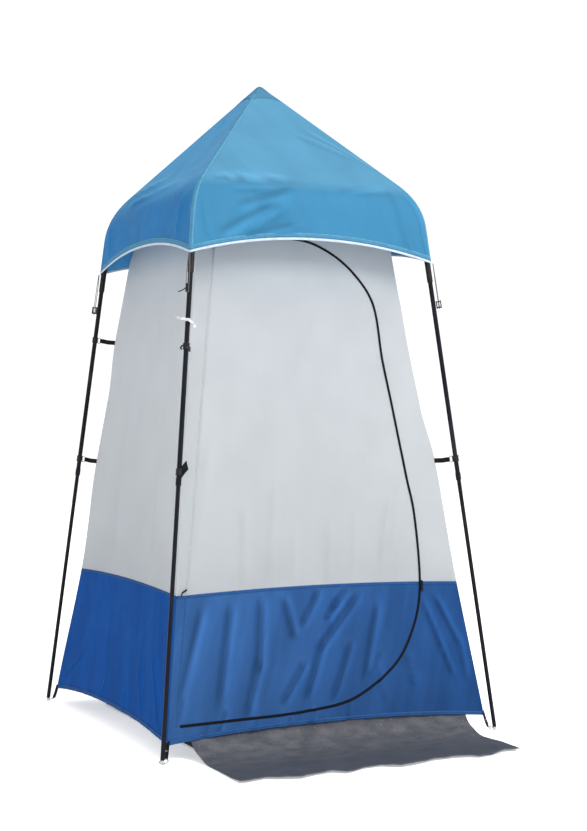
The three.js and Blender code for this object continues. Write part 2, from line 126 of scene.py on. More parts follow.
class Nodes:
    """A material's node tree, with short calls for the nodes that the finishes share."""

    def __init__(self, name):
        self.material = bpy.data.materials.new(name)
        self.material.use_nodes = True
        self.tree = self.material.node_tree
        self.shader = self.tree.nodes["Principled BSDF"]

    def add(self, kind, **settings):
        node = self.tree.nodes.new(kind)
        for key, value in settings.items():
            setattr(node, key, value)
        return node

    def link(self, source, target):
        self.tree.links.new(source, target)

    def coords(self, kind):
        return self.add("ShaderNodeTexCoord").outputs[kind]

    def noise(self, source, scale, detail=3.0, stretch=(1, 1, 1)):
        mapping = self.add("ShaderNodeMapping")
        mapping.inputs["Scale"].default_value = stretch
        self.link(source, mapping.inputs["Vector"])
        node = self.add("ShaderNodeTexNoise")
        node.inputs["Scale"].default_value = scale
        node.inputs["Detail"].default_value = detail
        self.link(mapping.outputs["Vector"], node.inputs["Vector"])
        return node.outputs["Fac"]

    def ramp(self, source, stops):
        node = self.add("ShaderNodeValToRGB")
        ramp = node.color_ramp
        while len(ramp.elements) < len(stops):
            ramp.elements.new(0.5)
        for element, (place, color) in zip(ramp.elements, stops):
            element.position = place
            element.color = (*color, 1.0)
        self.link(source, node.inputs["Fac"])
        return node.outputs["Color"]

    def mix(self, factor, a, b, blend="MIX"):
        node = self.add("ShaderNodeMix", data_type="RGBA", blend_type=blend)
        for value, key in ((factor, 0), (a, 6), (b, 7)):
            if isinstance(value, (int, float)):
                node.inputs[key].default_value = value
            elif isinstance(value, tuple):
                node.inputs[key].default_value = (*value, 1.0)
            else:
                self.link(value, node.inputs[key])
        return node.outputs[2]

    def math(self, operation, a, b=0.0):
        node = self.add("ShaderNodeMath", operation=operation)
        for key, value in enumerate((a, b)):
            if isinstance(value, (int, float)):
                node.inputs[key].default_value = value
            else:
                self.link(value, node.inputs[key])
        return node.outputs[0]

    def remap(self, source, low, high, to_low, to_high):
        node = self.add("ShaderNodeMapRange", clamp=True)
        for key, value in zip(("From Min", "From Max", "To Min", "To Max"), (low, high, to_low, to_high)):
            node.inputs[key].default_value = value
        self.link(source, node.inputs["Value"])
        return node.outputs["Result"]

    def axis(self, source, key):
        node = self.add("ShaderNodeSeparateXYZ")
        self.link(source, node.inputs["Vector"])
        return node.outputs[key]

    def threads(self, source, period):
        """Plain weave of threads that far apart, from 0 to 1; the source is in metres."""
        waves = []
        for direction in ("X", "Y"):
            node = self.add("ShaderNodeTexWave", bands_direction=direction)
            node.inputs["Scale"].default_value = WAVE_SCALE / period
            node.inputs["Distortion"].default_value = 0.4
            self.link(source, node.inputs["Vector"])
            waves.append(node.outputs["Fac"])
        return self.math("MULTIPLY", waves[0], waves[1])

    def rumple(self, source, turn, scale):
        """Long creases that run that angle off the cloth's length, from 0 to 1."""
        node = self.add("ShaderNodeVectorRotate", rotation_type="Z_AXIS")
        node.inputs["Angle"].default_value = turn
        self.link(source, node.inputs["Vector"])
        return self.noise(node.outputs["Vector"], scale, 3.0, (1, 0.13, 1))

    def bump(self, height, strength, distance, below=None):
        node = self.add("ShaderNodeBump")
        node.inputs["Strength"].default_value = strength
        node.inputs["Distance"].default_value = distance
        self.link(height, node.inputs["Height"])
        if below is not None:
            self.link(below, node.inputs["Normal"])
        return node.outputs["Normal"]

    def finish(self, color, roughness, normal=None, metallic=0.0, sheen=0.0, specular=0.5, through=None):
        """through is (share, colour) of the light that passes through thin cloth."""
        inputs = self.shader.inputs
        inputs["Metallic"].default_value = metallic
        inputs["Sheen Weight"].default_value = sheen
        inputs["Sheen Roughness"].default_value = 0.4
        inputs["Specular IOR Level"].default_value = specular
        self.link(color, inputs["Base Color"])
        if isinstance(roughness, float):
            inputs["Roughness"].default_value = roughness
        else:
            self.link(roughness, inputs["Roughness"])
        if normal is not None:
            self.link(normal, inputs["Normal"])
        if through is not None:
            share, passed = through
            back = self.add("ShaderNodeBsdfTranslucent")
            back.inputs["Color"].default_value = (*passed, 1.0)
            mix = self.add("ShaderNodeMixShader")
            mix.inputs[0].default_value = share
            self.link(self.shader.outputs[0], mix.inputs[1])
            self.link(back.outputs[0], mix.inputs[2])
            self.link(mix.outputs[0], self.tree.nodes["Material Output"].inputs["Surface"])
        return self.material


def shade(color, factor):
    return tuple(c * factor for c in color)


def cloth_finish(
    name, color, roughness, specular, crinkle=0.0006, shaded=None, painted_shade_x=None, through=None, painted_side_tints=None,
    rumpled=None, painted_fold_strength=0.0,
):
    """Coated woven cloth: fine threads, faint mottling, and small crinkles in its bump.

    shaded is (from, to, tint) of painted shade: the colour is multiplied by the tint as z goes from one
    height to the other.
    The tint along x is given the same way, as painted shade that deepens towards one side.
    The tints of cloth that faces -x, of all of it and of its upright part, are painted light and shade.
    rumpled is (angle, scale, depth, contrast) of long creases in it: their bump, and painted shade and
    highlight along them.
    The fold strength says how strongly painted shade and painted highlight follow its folds."""
    n = Nodes(name)
    place = n.coords("Object")
    threads = n.threads(n.coords("UV"), THREAD_PERIOD)
    mottle = n.noise(place, 7.0, 4.0)
    base = n.ramp(mottle, [(0.3, shade(color, 0.95)), (0.7, shade(color, 1.05))])
    # Painted shade: the colour is multiplied by a tint that changes with height, and by one that changes
    # across x.
    for axis, change in (("Z", shaded), ("X", painted_shade_x)):
        if change:
            low, high, tint = change
            share = n.remap(n.axis(place, axis), low, high, 0.0, 1.0)
            base = n.mix(share, base, tint, "MULTIPLY")
    # Painted light and shade by the way the cloth faces: bluer where it faces -x, darker where that cloth
    # stands upright.
    if painted_side_tints:
        facing = n.axis(n.add("ShaderNodeNewGeometry").outputs["Normal"], "X")
        base = n.mix(n.remap(facing, -0.30, -0.75, 0.0, 1.0), base, painted_side_tints[0], "MULTIPLY")
        base = n.mix(n.remap(facing, -0.80, -0.96, 0.0, 1.0), base, painted_side_tints[1], "MULTIPLY")
    base = n.mix(0.10, base, n.ramp(threads, [(0.0, (0.55, 0.55, 0.55)), (1.0, WHITE)]), "MULTIPLY")
    rough = n.remap(n.noise(place, 22.0), 0.3, 0.7, roughness - 0.06, roughness + 0.06)
    small = n.bump(n.noise(place, 38.0, 3.0, (1, 1, 0.55)), 0.5, crinkle)
    # Painted shade along each fold and painted highlight beside it, read from the piece's points.
    if painted_fold_strength:
        tone = n.add("ShaderNodeAttribute", attribute_name="painted_fold_shade").outputs["Fac"]
        dark, pale = shade(WHITE, 1 - painted_fold_strength), shade(WHITE, 1 / (1 - painted_fold_strength))
        base = n.mix(1.0, base, n.ramp(tone, [(0.0, dark), (0.5, WHITE), (1.0, pale)]), "MULTIPLY")
    if rumpled:
        turn, scale, depth, contrast = rumpled
        creases = n.rumple(n.coords("UV"), turn, scale)
        small = n.bump(creases, 1.0, depth, small)
        # Painted shade and highlight along the creases.
        dark, pale = shade(WHITE, 1 - contrast), shade(WHITE, 1 / (1 - contrast))
        base = n.mix(1.0, base, n.ramp(creases, [(0.40, dark), (0.50, WHITE), (0.60, pale)]), "MULTIPLY")
    normal = n.bump(threads, 0.25, 0.0001, small)
    return n.finish(base, rough, normal, specular=specular, through=through)


def stitched_finish(name, color, thread):
    """A sewn band: woven ribs across it and a row of stitches near each edge. V runs across it, 0 to 1."""
    n = Nodes(name)
    uv = n.coords("UV")
    along = n.axis(uv, "X")
    across = n.axis(uv, "Y")
    dash = n.math("GREATER_THAN", n.math("FRACT", n.math("MULTIPLY", along, 1 / STITCH_PERIOD)), 0.32)
    side = n.math("ABSOLUTE", n.math("SUBTRACT", across, 0.5))
    row = n.math("COMPARE", side, 0.31)
    row.node.inputs[2].default_value = 0.055
    stitch = n.math("MULTIPLY", dash, row)
    mottle = n.noise(n.coords("Object"), 60.0)
    base = n.ramp(mottle, [(0.3, shade(color, 0.85)), (0.7, shade(color, 1.1))])
    base = n.mix(stitch, base, thread)
    ribs = n.noise(uv, 900.0, 1.0, (1, 0.02, 1))
    normal = n.bump(stitch, 0.8, 0.0004, n.bump(ribs, 0.35, 0.0003))
    return n.finish(base, 0.7, normal, specular=0.02)


def webbing_finish(name, color):
    """Narrow woven strap, ribbed along its length."""
    n = Nodes(name)
    uv = n.coords("UV")
    ribs = n.add("ShaderNodeTexWave", bands_direction="Y")
    ribs.inputs["Scale"].default_value = WAVE_SCALE / RIB_PERIOD
    ribs.inputs["Distortion"].default_value = 1.2
    n.link(uv, ribs.inputs["Vector"])
    cross = n.noise(uv, 700.0, 2.0)
    base = n.ramp(n.noise(n.coords("Object"), 90.0), [(0.3, shade(color, 0.7)), (0.75, shade(color, 1.7))])
    normal = n.bump(ribs.outputs["Fac"], 0.5, 0.0004, n.bump(cross, 0.5, 0.0003))
    return n.finish(base, 0.78, normal, sheen=0.05, specular=0.10)


def pole_finish(name):
    """Black enamel on a drawn tube: fine streaks along it, dust and rubbed places."""
    n = Nodes(name)
    place = n.coords("Object")
    streaks = n.noise(place, 55.0, 4.0, (1, 1, 0.06))
    dust = n.noise(place, 9.0, 5.0)
    base = n.ramp(dust, [
        (0.35, (0.002, 0.003, 0.006)), (0.62, (0.005, 0.006, 0.010)), (0.8, (0.018, 0.019, 0.022)),
    ])
    rough = n.remap(streaks, 0.3, 0.7, 0.30, 0.46)
    return n.finish(base, rough, n.bump(streaks, 0.12, 0.0003), specular=0.13)


def plastic_finish(name, color=(0.006, 0.006, 0.007), roughness=0.42):
    """Moulded plastic with a fine spark-eroded grain, paler where it is rubbed."""
    n = Nodes(name)
    place = n.coords("Object")
    rubbed = n.noise(place, 35.0, 4.0)
    base = n.ramp(rubbed, [(0.4, color), (0.75, shade(color, 2.4))])
    rough = n.remap(rubbed, 0.3, 0.7, roughness - 0.08, roughness + 0.12)
    return n.finish(base, rough, n.bump(n.noise(place, 1400.0, 2.0), 0.25, 0.0002), specular=0.18)


def steel_finish(name):
    """Zinc-plated wire and pressings: dull spangle, with darker spots."""
    n = Nodes(name)
    place = n.coords("Object")
    spangle = n.noise(place, 160.0, 5.0)
    base = n.ramp(spangle, [(0.3, (0.30, 0.30, 0.31)), (0.6, (0.62, 0.62, 0.63))])
    rough = n.remap(spangle, 0.3, 0.7, 0.28, 0.5)
    return n.finish(base, rough, n.bump(spangle, 0.2, 0.0002), metallic=1.0)


def cord_finish(name):
    """Braided cord: short slanted strands."""
    n = Nodes(name)
    uv = n.coords("UV")
    braid = n.add("ShaderNodeTexWave", bands_direction="DIAGONAL")
    braid.inputs["Scale"].default_value = 9.0
    n.link(uv, braid.inputs["Vector"])
    base = n.ramp(braid.outputs["Fac"], [(0.1, (0.05, 0.05, 0.052)), (0.7, (0.20, 0.20, 0.205))])
    return n.finish(base, 0.8, n.bump(braid.outputs["Fac"], 0.6, 0.0004), specular=0.1)


def mat_finish(name):
    """Dark grey woven mat: coarse threads, and paler mottled patches and specks near the door."""
    n = Nodes(name)
    place = n.coords("Object")
    threads = n.threads(n.coords("UV"), MAT_THREAD_PERIOD)
    mottle = n.noise(place, 11.0, 6.0)
    base = n.ramp(mottle, [(0.3, (0.045, 0.052, 0.066)), (0.7, (0.057, 0.065, 0.082))])
    near_door = n.remap(n.axis(place, "Y"), -0.80, -0.60, 0.0, 1.0)
    # Paler, browner mottled patches near the door, and pale specks.
    pale_patches = n.remap(n.noise(place, 17.0, 6.0, (1, 2.2, 1)), 0.36, 0.70, 0.15, 0.8)
    base = n.mix(n.math("MULTIPLY", near_door, pale_patches), base, (0.118, 0.114, 0.124))
    pale_specks = n.math("GREATER_THAN", n.noise(place, 210.0, 1.0), 0.72)
    base = n.mix(n.math("MULTIPLY", pale_specks, near_door), base, (0.20, 0.19, 0.18))
    small = n.bump(n.noise(place, 30.0, 4.0), 0.6, 0.0012)
    return n.finish(base, 0.85, n.bump(threads, 0.45, 0.0003, small), specular=0.04)


def zip_finish(name):
    """Moulded coil, with its teeth one after another along its length."""
    n = Nodes(name)
    along = n.axis(n.coords("UV"), "X")
    teeth = n.math("PINGPONG", n.math("MULTIPLY", along, 1 / TOOTH_PERIOD), 0.5)
    base = n.ramp(teeth, [(0.1, (0.002, 0.002, 0.004)), (0.5, (0.010, 0.011, 0.015))])
    return n.finish(base, 0.45, n.bump(teeth, 0.7, 0.0008), specular=0.10)


GREY = (0.462, 0.484, 0.506)
# Faint painted shade and highlight along the grey cloth's creases and folds, besides their bump.
GREY_CREASES = {"rumpled": (0.1, 9.0, 0.006, 0.012), "painted_fold_strength": 0.05}
MATERIALS = {
    # Painted light and shade on the canopy's cloth: darker and bluer on its valance than on its roof, bluer
    # where it faces -x and darker on that valance, and along its folds.
    "canopy": cloth_finish(
        "canopy_cloth", (0.061, 0.193, 0.305), 0.6, 0.06, crinkle=0.0011,
        shaded=(1.886, 1.845, (0.52, 0.78, 0.89)), painted_side_tints=((0.73, 1.14, 1.37), (0.66, 0.78, 0.88)),
        rumpled=(0.35, 7.0, 0.010, 0.025), painted_fold_strength=0.24),
    "canopy_inside": cloth_finish("canopy_lining", (0.080, 0.330, 0.640), 0.7, 0.03, crinkle=0.0011),
    # Painted shade at the top of the grey cloth, under the canopy's hem.
    "grey": cloth_finish(
        "grey_cloth", GREY, 0.75, 0.05, shaded=(1.46, 1.60, (0.90, 0.94, 0.96)),
        through=(0.50, (0.77, 0.79, 0.79)), **GREY_CREASES),
    # A shaded copy of the grey cloth for the side and back walls: deeper, bluer painted shade at its top,
    # under the canopy.
    "grey_side": cloth_finish(
        "grey_cloth_side", GREY, 0.75, 0.05, shaded=(1.57, 1.69, (0.38, 0.56, 0.73)),
        through=(0.50, (0.79, 0.81, 0.83)), **GREY_CREASES),
    "blue": cloth_finish(
        "blue_cloth", (0.006, 0.056, 0.232), 0.6, 0.01, crinkle=0.0008,
        rumpled=(-0.2, 9.0, 0.005, 0.07), painted_fold_strength=0.20),
    # A lighter, less saturated copy of the blue cloth for the front wall, as painted light, with painted
    # shade that deepens towards +x.
    "blue_front": cloth_finish(
        "blue_cloth_front", (0.0215, 0.073, 0.203), 0.5, 0.05, crinkle=0.0010,
        painted_shade_x=(-0.30, 0.56, (0.42, 0.61, 0.72)), rumpled=(0.27, 12.0, 0.016, 0.10), painted_fold_strength=0.31),
    "mat": mat_finish("mat_cloth"),
    "mat_hem": stitched_finish("mat_hem", (0.080, 0.086, 0.102), (0.11, 0.115, 0.13)),
    "canopy_seam": stitched_finish("canopy_seam", (0.058, 0.186, 0.300), (0.11, 0.28, 0.41)),
    "grey_seam": stitched_finish("grey_seam", (0.366, 0.386, 0.408), (0.366, 0.386, 0.408)),
    "blue_seam": stitched_finish("blue_seam", (0.016, 0.062, 0.186), (0.05, 0.11, 0.24)),
    "binding": stitched_finish("white_binding", (0.41, 0.48, 0.57), (0.50, 0.55, 0.60)),
    "black_tape": stitched_finish("black_tape", (0.004, 0.005, 0.009), (0.012, 0.013, 0.018)),
    "zip": zip_finish("zip_coil"),
    "webbing": webbing_finish("black_webbing", (0.006, 0.006, 0.007)),
    "white_tape": webbing_finish("white_webbing", (0.46, 0.47, 0.49)),
    "pole": pole_finish("pole_enamel"),
    "plastic": plastic_finish("black_plastic"),
    "grey_plastic": plastic_finish("grey_plastic", (0.24, 0.24, 0.25), 0.5),
    "steel": steel_finish("zinc_plate"),
    "slider": pole_finish("slider_enamel"),
    "cord": cord_finish("braided_cord"),
}


# ---- mesh helpers ----
def corner_frame(corner):
    """A corner's own axes: its x points outward along the diagonal."""
    return Matrix.Rotation(math.radians(CORNERS[corner]), 3, "Z")


def settle(obj, material, body="root"):
    """Gives a piece its finish, and lets it ride on a body."""
    obj.data.materials.clear()
    obj.data.materials.append(MATERIALS[material])
    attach(obj, body)
    return obj


def mesh_piece(name, points, faces, uv):
    data = bpy.data.meshes.new(name)
    data.from_pydata([tuple(p) for p in points], [], [tuple(f) for f in faces])
    data.validate()
    layer = data.uv_layers.new(name="UVMap")
    corner_vertex = np.zeros(len(data.loops), np.int32)
    data.loops.foreach_get("vertex_index", corner_vertex)
    layer.data.foreach_set("uv", np.asarray(uv, np.float32)[corner_vertex].ravel())
    data.polygons.foreach_set("use_smooth", [True] * len(data.polygons))
    obj = bpy.data.objects.new(name, data)
    bpy.context.scene.collection.objects.link(obj)
    return obj


def grid_faces(rows, columns, rows_meet=False, columns_meet=False):
    """Faces between neighbours in a grid, whose last row or column may meet its first."""
    faces = []
    for r in range(rows if rows_meet else rows - 1):
        for c in range(columns if columns_meet else columns - 1):
            s, d = (r + 1) % rows, (c + 1) % columns
            faces.append((r * columns + c, r * columns + d, s * columns + d, s * columns + c))
    return faces


def thicken(obj, thickness=CLOTH):
    solid = obj.modifiers.new("thickness", "SOLIDIFY")
    solid.thickness = thickness
    solid.offset = 0.0
    return obj


def weld(obj):
    """Joins the edges of a mesh that was made of several grids."""
    work = bmesh.new()
    work.from_mesh(obj.data)
    bmesh.ops.remove_doubles(work, verts=work.verts, dist=0.0002)
    bmesh.ops.recalc_face_normals(work, faces=work.faces)
    work.to_mesh(obj.data)
    work.free()


def unit(vectors):
    return vectors / np.linalg.norm(vectors, axis=-1, keepdims=True)


def distance_along(path):
    """How far along the path each of its points is."""
    return np.concatenate([[0], np.cumsum(np.linalg.norm(np.diff(path, axis=0), axis=1))])


def smoothstep(t):
    t = np.clip(t, 0.0, 1.0)
    return t * t * (3 - 2 * t)


def value_noise(x, y, seed):
    """Smooth noise from -1 to 1 with one cell for each unit of x and y."""
    cells = 61
    table = np.random.RandomState(seed).rand(cells, cells) * 2 - 1
    column, row = np.floor(x).astype(int), np.floor(y).astype(int)
    s, t = smoothstep(x - column), smoothstep(y - row)

    def between_columns(r):
        return table[r % cells, column % cells] * (1 - s) + table[r % cells, (column + 1) % cells] * s

    return between_columns(row) * (1 - t) + between_columns(row + 1) * t


def cloth_noise(x, y, size, seed):
    """Three octaves of value_noise, the largest of that size in metres."""
    total = 0.0
    for octave, share in enumerate((0.62, 0.27, 0.11)):
        finer = 2**octave
        total = total + share * value_noise(x / size * finer + 7.3, y / size * finer + 3.1, seed + octave)
    return total


def from_fold(x, y, start, end, width):
    """Where places lie by a fold: the share of its length along it, and how many widths to its right."""
    (x0, y0), (x1, y1) = start, end
    length = math.hypot(x1 - x0, y1 - y0)
    ux, uy = (x1 - x0) / length, (y1 - y0) / length
    return ((x - x0) * ux + (y - y0) * uy) / length, ((x - x0) * uy - (y - y0) * ux) / width


def crease(x, y, start, end, width, height):
    """A rounded fold along a line, which fades at both ends. It is steeper on its left side."""
    t, d = from_fold(x, y, start, end, width)
    taper = smoothstep((t + 0.12) / 0.3) * smoothstep((1.12 - t) / 0.3)
    return height * taper * np.exp(-(d * d)) * (1 + 0.35 * np.tanh(2 * d))


def painted_crease_shade(x, y, folds):
    """From -1 to 1: dark along each fold and pale beside it, as painted shade and painted highlight."""
    full_height = 0.006
    tone = np.zeros_like(x)
    for start, end, width, height in folds:
        t, d = from_fold(x, y, start, end, width)
        taper = smoothstep((t + 0.10) / 0.25) * smoothstep((1.12 - t) / 0.3)
        dark, pale = np.exp(-(((d - 0.4) / 0.62) ** 2)), np.exp(-(((d + 1.1) / 0.9) ** 2))
        tone = tone + taper * min(1.0, abs(height) / full_height) * (0.75 * pale - dark)
    return np.clip(tone, -1, 1)


def set_tone(obj, tone):
    """Stores the folds' painted shade and highlight on the piece's points, where cloth_finish reads it."""
    layer = obj.data.attributes.new("painted_fold_shade", "FLOAT", "POINT")
    layer.data.foreach_set("value", (0.5 + 0.5 * tone).astype(np.float32))


def smooth_curve(points, count):
    """That many points, evenly spaced, on a smooth curve through the given ones."""
    p = np.array(points, float)
    p = np.vstack([2 * p[0] - p[1], p, 2 * p[-1] - p[-2]])
    fine = []
    for i in range(1, len(p) - 2):
        a, b, c, d = p[i - 1], p[i], p[i + 1], p[i + 2]
        gaps = [max(np.linalg.norm(q - r), 1e-9) ** 0.5 for q, r in ((b, a), (c, b), (d, c))]
        m1 = (c - b + gaps[1] * ((b - a) / gaps[0] - (c - a) / (gaps[0] + gaps[1])))
        m2 = (c - b + gaps[1] * ((d - c) / gaps[2] - (d - b) / (gaps[1] + gaps[2])))
        t = np.linspace(0, 1, 40, endpoint=False)[:, None]
        fine.append(
            (2 * t**3 - 3 * t**2 + 1) * b + (t**3 - 2 * t**2 + t) * m1
            + (3 * t**2 - 2 * t**3) * c + (t**3 - t**2) * m2
        )
    return resample(np.vstack([*fine, p[-2][None]]), count)


def resample(points, count):
    """That many points, evenly spaced, on the straight lines between the given ones."""
    along = distance_along(points)
    wanted = np.linspace(0, along[-1], count)
    return np.stack([np.interp(wanted, along, points[:, k]) for k in range(points.shape[1])], axis=1)


def strip(name, path, across, width, normal, material, thickness, body="root"):
    """A flat band along a path. across and normal hold a unit vector for each point of the path."""
    sections = np.array([-0.5, -0.25, 0.0, 0.25, 0.5])
    crown = np.array([0.0, 0.8, 1.0, 0.8, 0.0]) * thickness * 0.35
    grid = np.stack([path + across * (s * width) + normal * c for s, c in zip(sections, crown)], axis=1)
    uv = [(a, s + 0.5) for a in distance_along(path) for s in sections]
    obj = mesh_piece(name, grid.reshape(-1, 3), grid_faces(len(path), len(sections)), uv)
    return settle(thicken(obj, thickness), material, body)


def circle(radius, sides):
    turns = [2 * math.pi * k / sides for k in range(sides)]
    return [(radius * math.cos(a), radius * math.sin(a)) for a in turns]


def tube(name, points, radius, material, slot, body="root", sides=12, closed=False):
    """A round bar along points."""
    points = [Vector(p) for p in points]
    count = len(points)
    verts, uv, along = [], [], 0.0
    reference = None
    for i, p in enumerate(points):
        after = points[(i + 1) % count] if closed else points[min(i + 1, count - 1)]
        before = points[i - 1] if closed or i else points[0]
        forward = (after - before).normalized()
        if reference is None:
            reference = Vector((0, 0, 1)) if abs(forward.z) < 0.9 else Vector((1, 0, 0))
        side = forward.cross(reference).normalized()
        reference = side.cross(forward).normalized()
        along += (p - points[i - 1]).length if i else 0.0
        for k, (a, b) in enumerate(circle(radius, sides)):
            verts.append(p + side * a + reference * b)
            uv.append((along, k / sides))
    faces = grid_faces(count, sides, rows_meet=closed, columns_meet=True)
    if not closed:
        faces.append(tuple(reversed(range(sides))))
        faces.append(tuple(range((count - 1) * sides, count * sides)))
    return settle(mesh_piece(name, verts, faces, uv), material, body)


# ---- guy loops: cords first ----
TENSIONER_Z = {"front_left": 1.498, "front_right": 1.472, "back_right": 1.480, "back_left": 1.483}
CORD_OUT = 0.0195  # from the leg's centre line
CORD_TURN = 0.005  # radius of the loop's lower end, in its tensioner


def leg_point(corner, z, out=0.0, side=0.0):
    """A place by a leg: that far out of its centre line, and to its side."""
    return corner_frame(corner) @ Vector((math.sqrt(2) * leg_half(z) + out, side, z))


def guy_cord(corner):
    """A loop that hangs from the valance's corner and turns round in its tensioner."""
    low = TENSIONER_Z[corner] - 0.010
    near = [
        (HEM_CORNER_Z - 0.003, 0.0022), (HEM_CORNER_Z - 0.030, 0.0036), (HEM_CORNER_Z - 0.060, 0.005),
        (low + 0.030, CORD_TURN), (low + 0.012, CORD_TURN),
    ]
    turn = [
        (low - CORD_TURN * math.sin(math.radians(a)), CORD_TURN * math.cos(math.radians(a)))
        for a in range(0, 181, 30)
    ]
    places = near + turn + [(z, -side) for z, side in reversed(near)]
    points = [leg_point(corner, z, CORD_OUT, side) for z, side in places]
    fine = smooth_curve([tuple(p) for p in points], 90)
    data = bpy.data.curves.new(f"guy_loop_{corner}", "CURVE")
    data.dimensions = "3D"
    data.bevel_depth = CORD_DIAMETER / 2
    data.bevel_resolution = 3
    data.use_fill_caps = True
    spline = data.splines.new("POLY")
    spline.points.add(len(fine) - 1)
    for point, place in zip(spline.points, fine):
        point.co = (*place, 1.0)
    cord = bpy.data.objects.new(f"guy_loop_{corner}", data)
    bpy.context.scene.collection.objects.link(cord)
    settle(cord, "cord")
    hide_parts(f"guy_cord_{corner}")


for corner in CORNERS:
    guy_cord(corner)


# ---- canopy: one continuous cloth over the four ridges ----
ROOF_SLOPE = (APEX_Z - SHOULDER_Z) / leg_half(SHOULDER_Z)
ROOF_NORMAL = 0.69  # share of a fold's height that goes up on the roof, and outward: it slopes at 46 degrees
RIDGE_ROUND = 0.016  # radius at which the cloth rounds a ridge or a valance corner
TIP_ROUND = 0.007
CANOPY_FOLD_DEPTH = 3.0  # multiplies the heights in CANOPY_FOLDS
EAVE_LIFT = CANOPY_CLEAR * math.hypot(1, ROOF_SLOPE)
SIDE_LIFT = CANOPY_CLEAR * math.hypot(1, LEG_LEAN)


def hem_z(u):
    """The valance's arched hem, at u from -1 to 1 along a side."""
    return HEM_CORNER_Z + HEM_RISE * (1 - np.abs(u) ** 2.15)


def canopy_profile(u):
    """(half width, height) of the cloth from the tip down to the hem, at u from -1 to 1 along a side."""
    roof_rows, bend_rows, side_rows = 34, 12, 20
    shoulder_h = leg_half(SHOULDER_Z) + SIDE_LIFT
    shoulder_z = APEX_Z + EAVE_LIFT - ROOF_SLOPE * shoulder_h
    reach = 0.040 + 0.050 * u * u  # how far the bend starts before the corner: it is tighter in the middle
    roof_unit = np.array([1, -ROOF_SLOPE]) / math.hypot(1, ROOF_SLOPE)
    side_unit = np.array([LEG_LEAN, -1]) / math.hypot(1, LEG_LEAN)
    corner = np.array([shoulder_h, shoulder_z])
    bend_top, bend_end = corner - roof_unit * reach, corner + side_unit * reach
    half = bend_top[0] * np.linspace(0, 1, roof_rows, endpoint=False) ** 1.15
    roof = np.stack([half, APEX_Z + EAVE_LIFT - ROOF_SLOPE * np.hypot(half, TIP_ROUND)], axis=1)
    t = np.linspace(0, 1, bend_rows, endpoint=False)[:, None]
    bend = (1 - t) ** 2 * bend_top + 2 * t * (1 - t) * corner + t**2 * bend_end
    z = np.linspace(bend_end[1], hem_z(u), side_rows)
    side = np.stack([bend_end[0] + (bend_end[1] - z) * LEG_LEAN, z], axis=1)
    return np.vstack([roof, bend, side])


# Folds of each side's cloth: (x, z) of both ends, width and height, for someone outside who faces it.
CANOPY_FOLDS = {
    "front": [
        ((-0.10, 1.785), (-0.25, 1.685), 0.016, 0.0065), ((-0.05, 1.725), (-0.19, 1.668), 0.013, 0.0050),
        ((-0.05, 1.840), (-0.19, 1.780), 0.016, 0.0050), ((-0.29, 1.878), (-0.04, 1.884), 0.010, -0.0075),
        ((-0.21, 1.832), (-0.08, 1.838), 0.009, 0.0035), ((0.12, 1.846), (0.26, 1.864), 0.011, 0.0035),
        ((0.345, 1.835), (0.395, 1.665), 0.010, 0.0040), ((0.320, 1.860), (0.375, 1.640), 0.012, 0.0045),
        ((0.07, 2.075), (0.26, 1.985), 0.012, 0.0030), ((0.17, 2.090), (0.35, 1.945), 0.014, 0.0040),
        ((-0.40, 1.800), (-0.385, 1.665), 0.009, 0.0040),
    ],
    "left": [
        ((-0.34, 1.885), (-0.07, 1.925), 0.016, 0.0050), ((-0.23, 1.850), (0.12, 1.890), 0.014, 0.0035),
        ((0.355, 1.830), (0.330, 1.690), 0.012, 0.0035), ((-0.38, 1.800), (-0.35, 1.665), 0.012, 0.0035),
    ],
    "right": [
        ((-0.30, 1.795), (-0.12, 1.700), 0.015, 0.0050), ((0.10, 1.850), (0.28, 1.872), 0.011, 0.0035),
        ((0.36, 1.830), (0.39, 1.665), 0.011, 0.0040), ((-0.25, 1.880), (-0.02, 1.886), 0.010, -0.0050),
    ],
    "back": [
        ((0.12, 1.790), (0.27, 1.690), 0.016, 0.0055), ((-0.24, 1.878), (0.02, 1.884), 0.010, -0.0060),
        ((-0.36, 1.835), (-0.39, 1.665), 0.011, 0.0040), ((-0.18, 1.760), (-0.06, 1.690), 0.014, 0.0040),
    ],
}


def canopy_lift(side, x, z, u):
    """How far the cloth stands out of its smooth shape."""
    seed = 40 + 7 * list(SIDES).index(side)
    inner = 1 - np.abs(u) ** 5
    lift = 0.0022 * cloth_noise(x, z, 0.20, seed) + 0.0009 * cloth_noise(x, z, 0.05, seed + 3)
    # The roof sags between its ridges.
    sag = smoothstep((z - SHOULDER_Z) / 0.10) * smoothstep((2.24 - z) / 0.15)
    lift = lift - 0.007 * sag * (1 - u * u)
    off_hem = smoothstep((z - hem_z(u)) / 0.045)
    for start, end, width, height in CANOPY_FOLDS[side]:
        lift = lift + CANOPY_FOLD_DEPTH * off_hem * crease(x, z, start, end, width, height)
    return lift * inner


def turned(points, side):
    """Places on the front, carried round to another side."""
    angle = math.radians(SIDES[side])
    c, s = math.cos(angle), math.sin(angle)
    x, y, z = np.moveaxis(points, -1, 0)
    return np.stack([x * c - y * s, x * s + y * c, z], axis=-1)


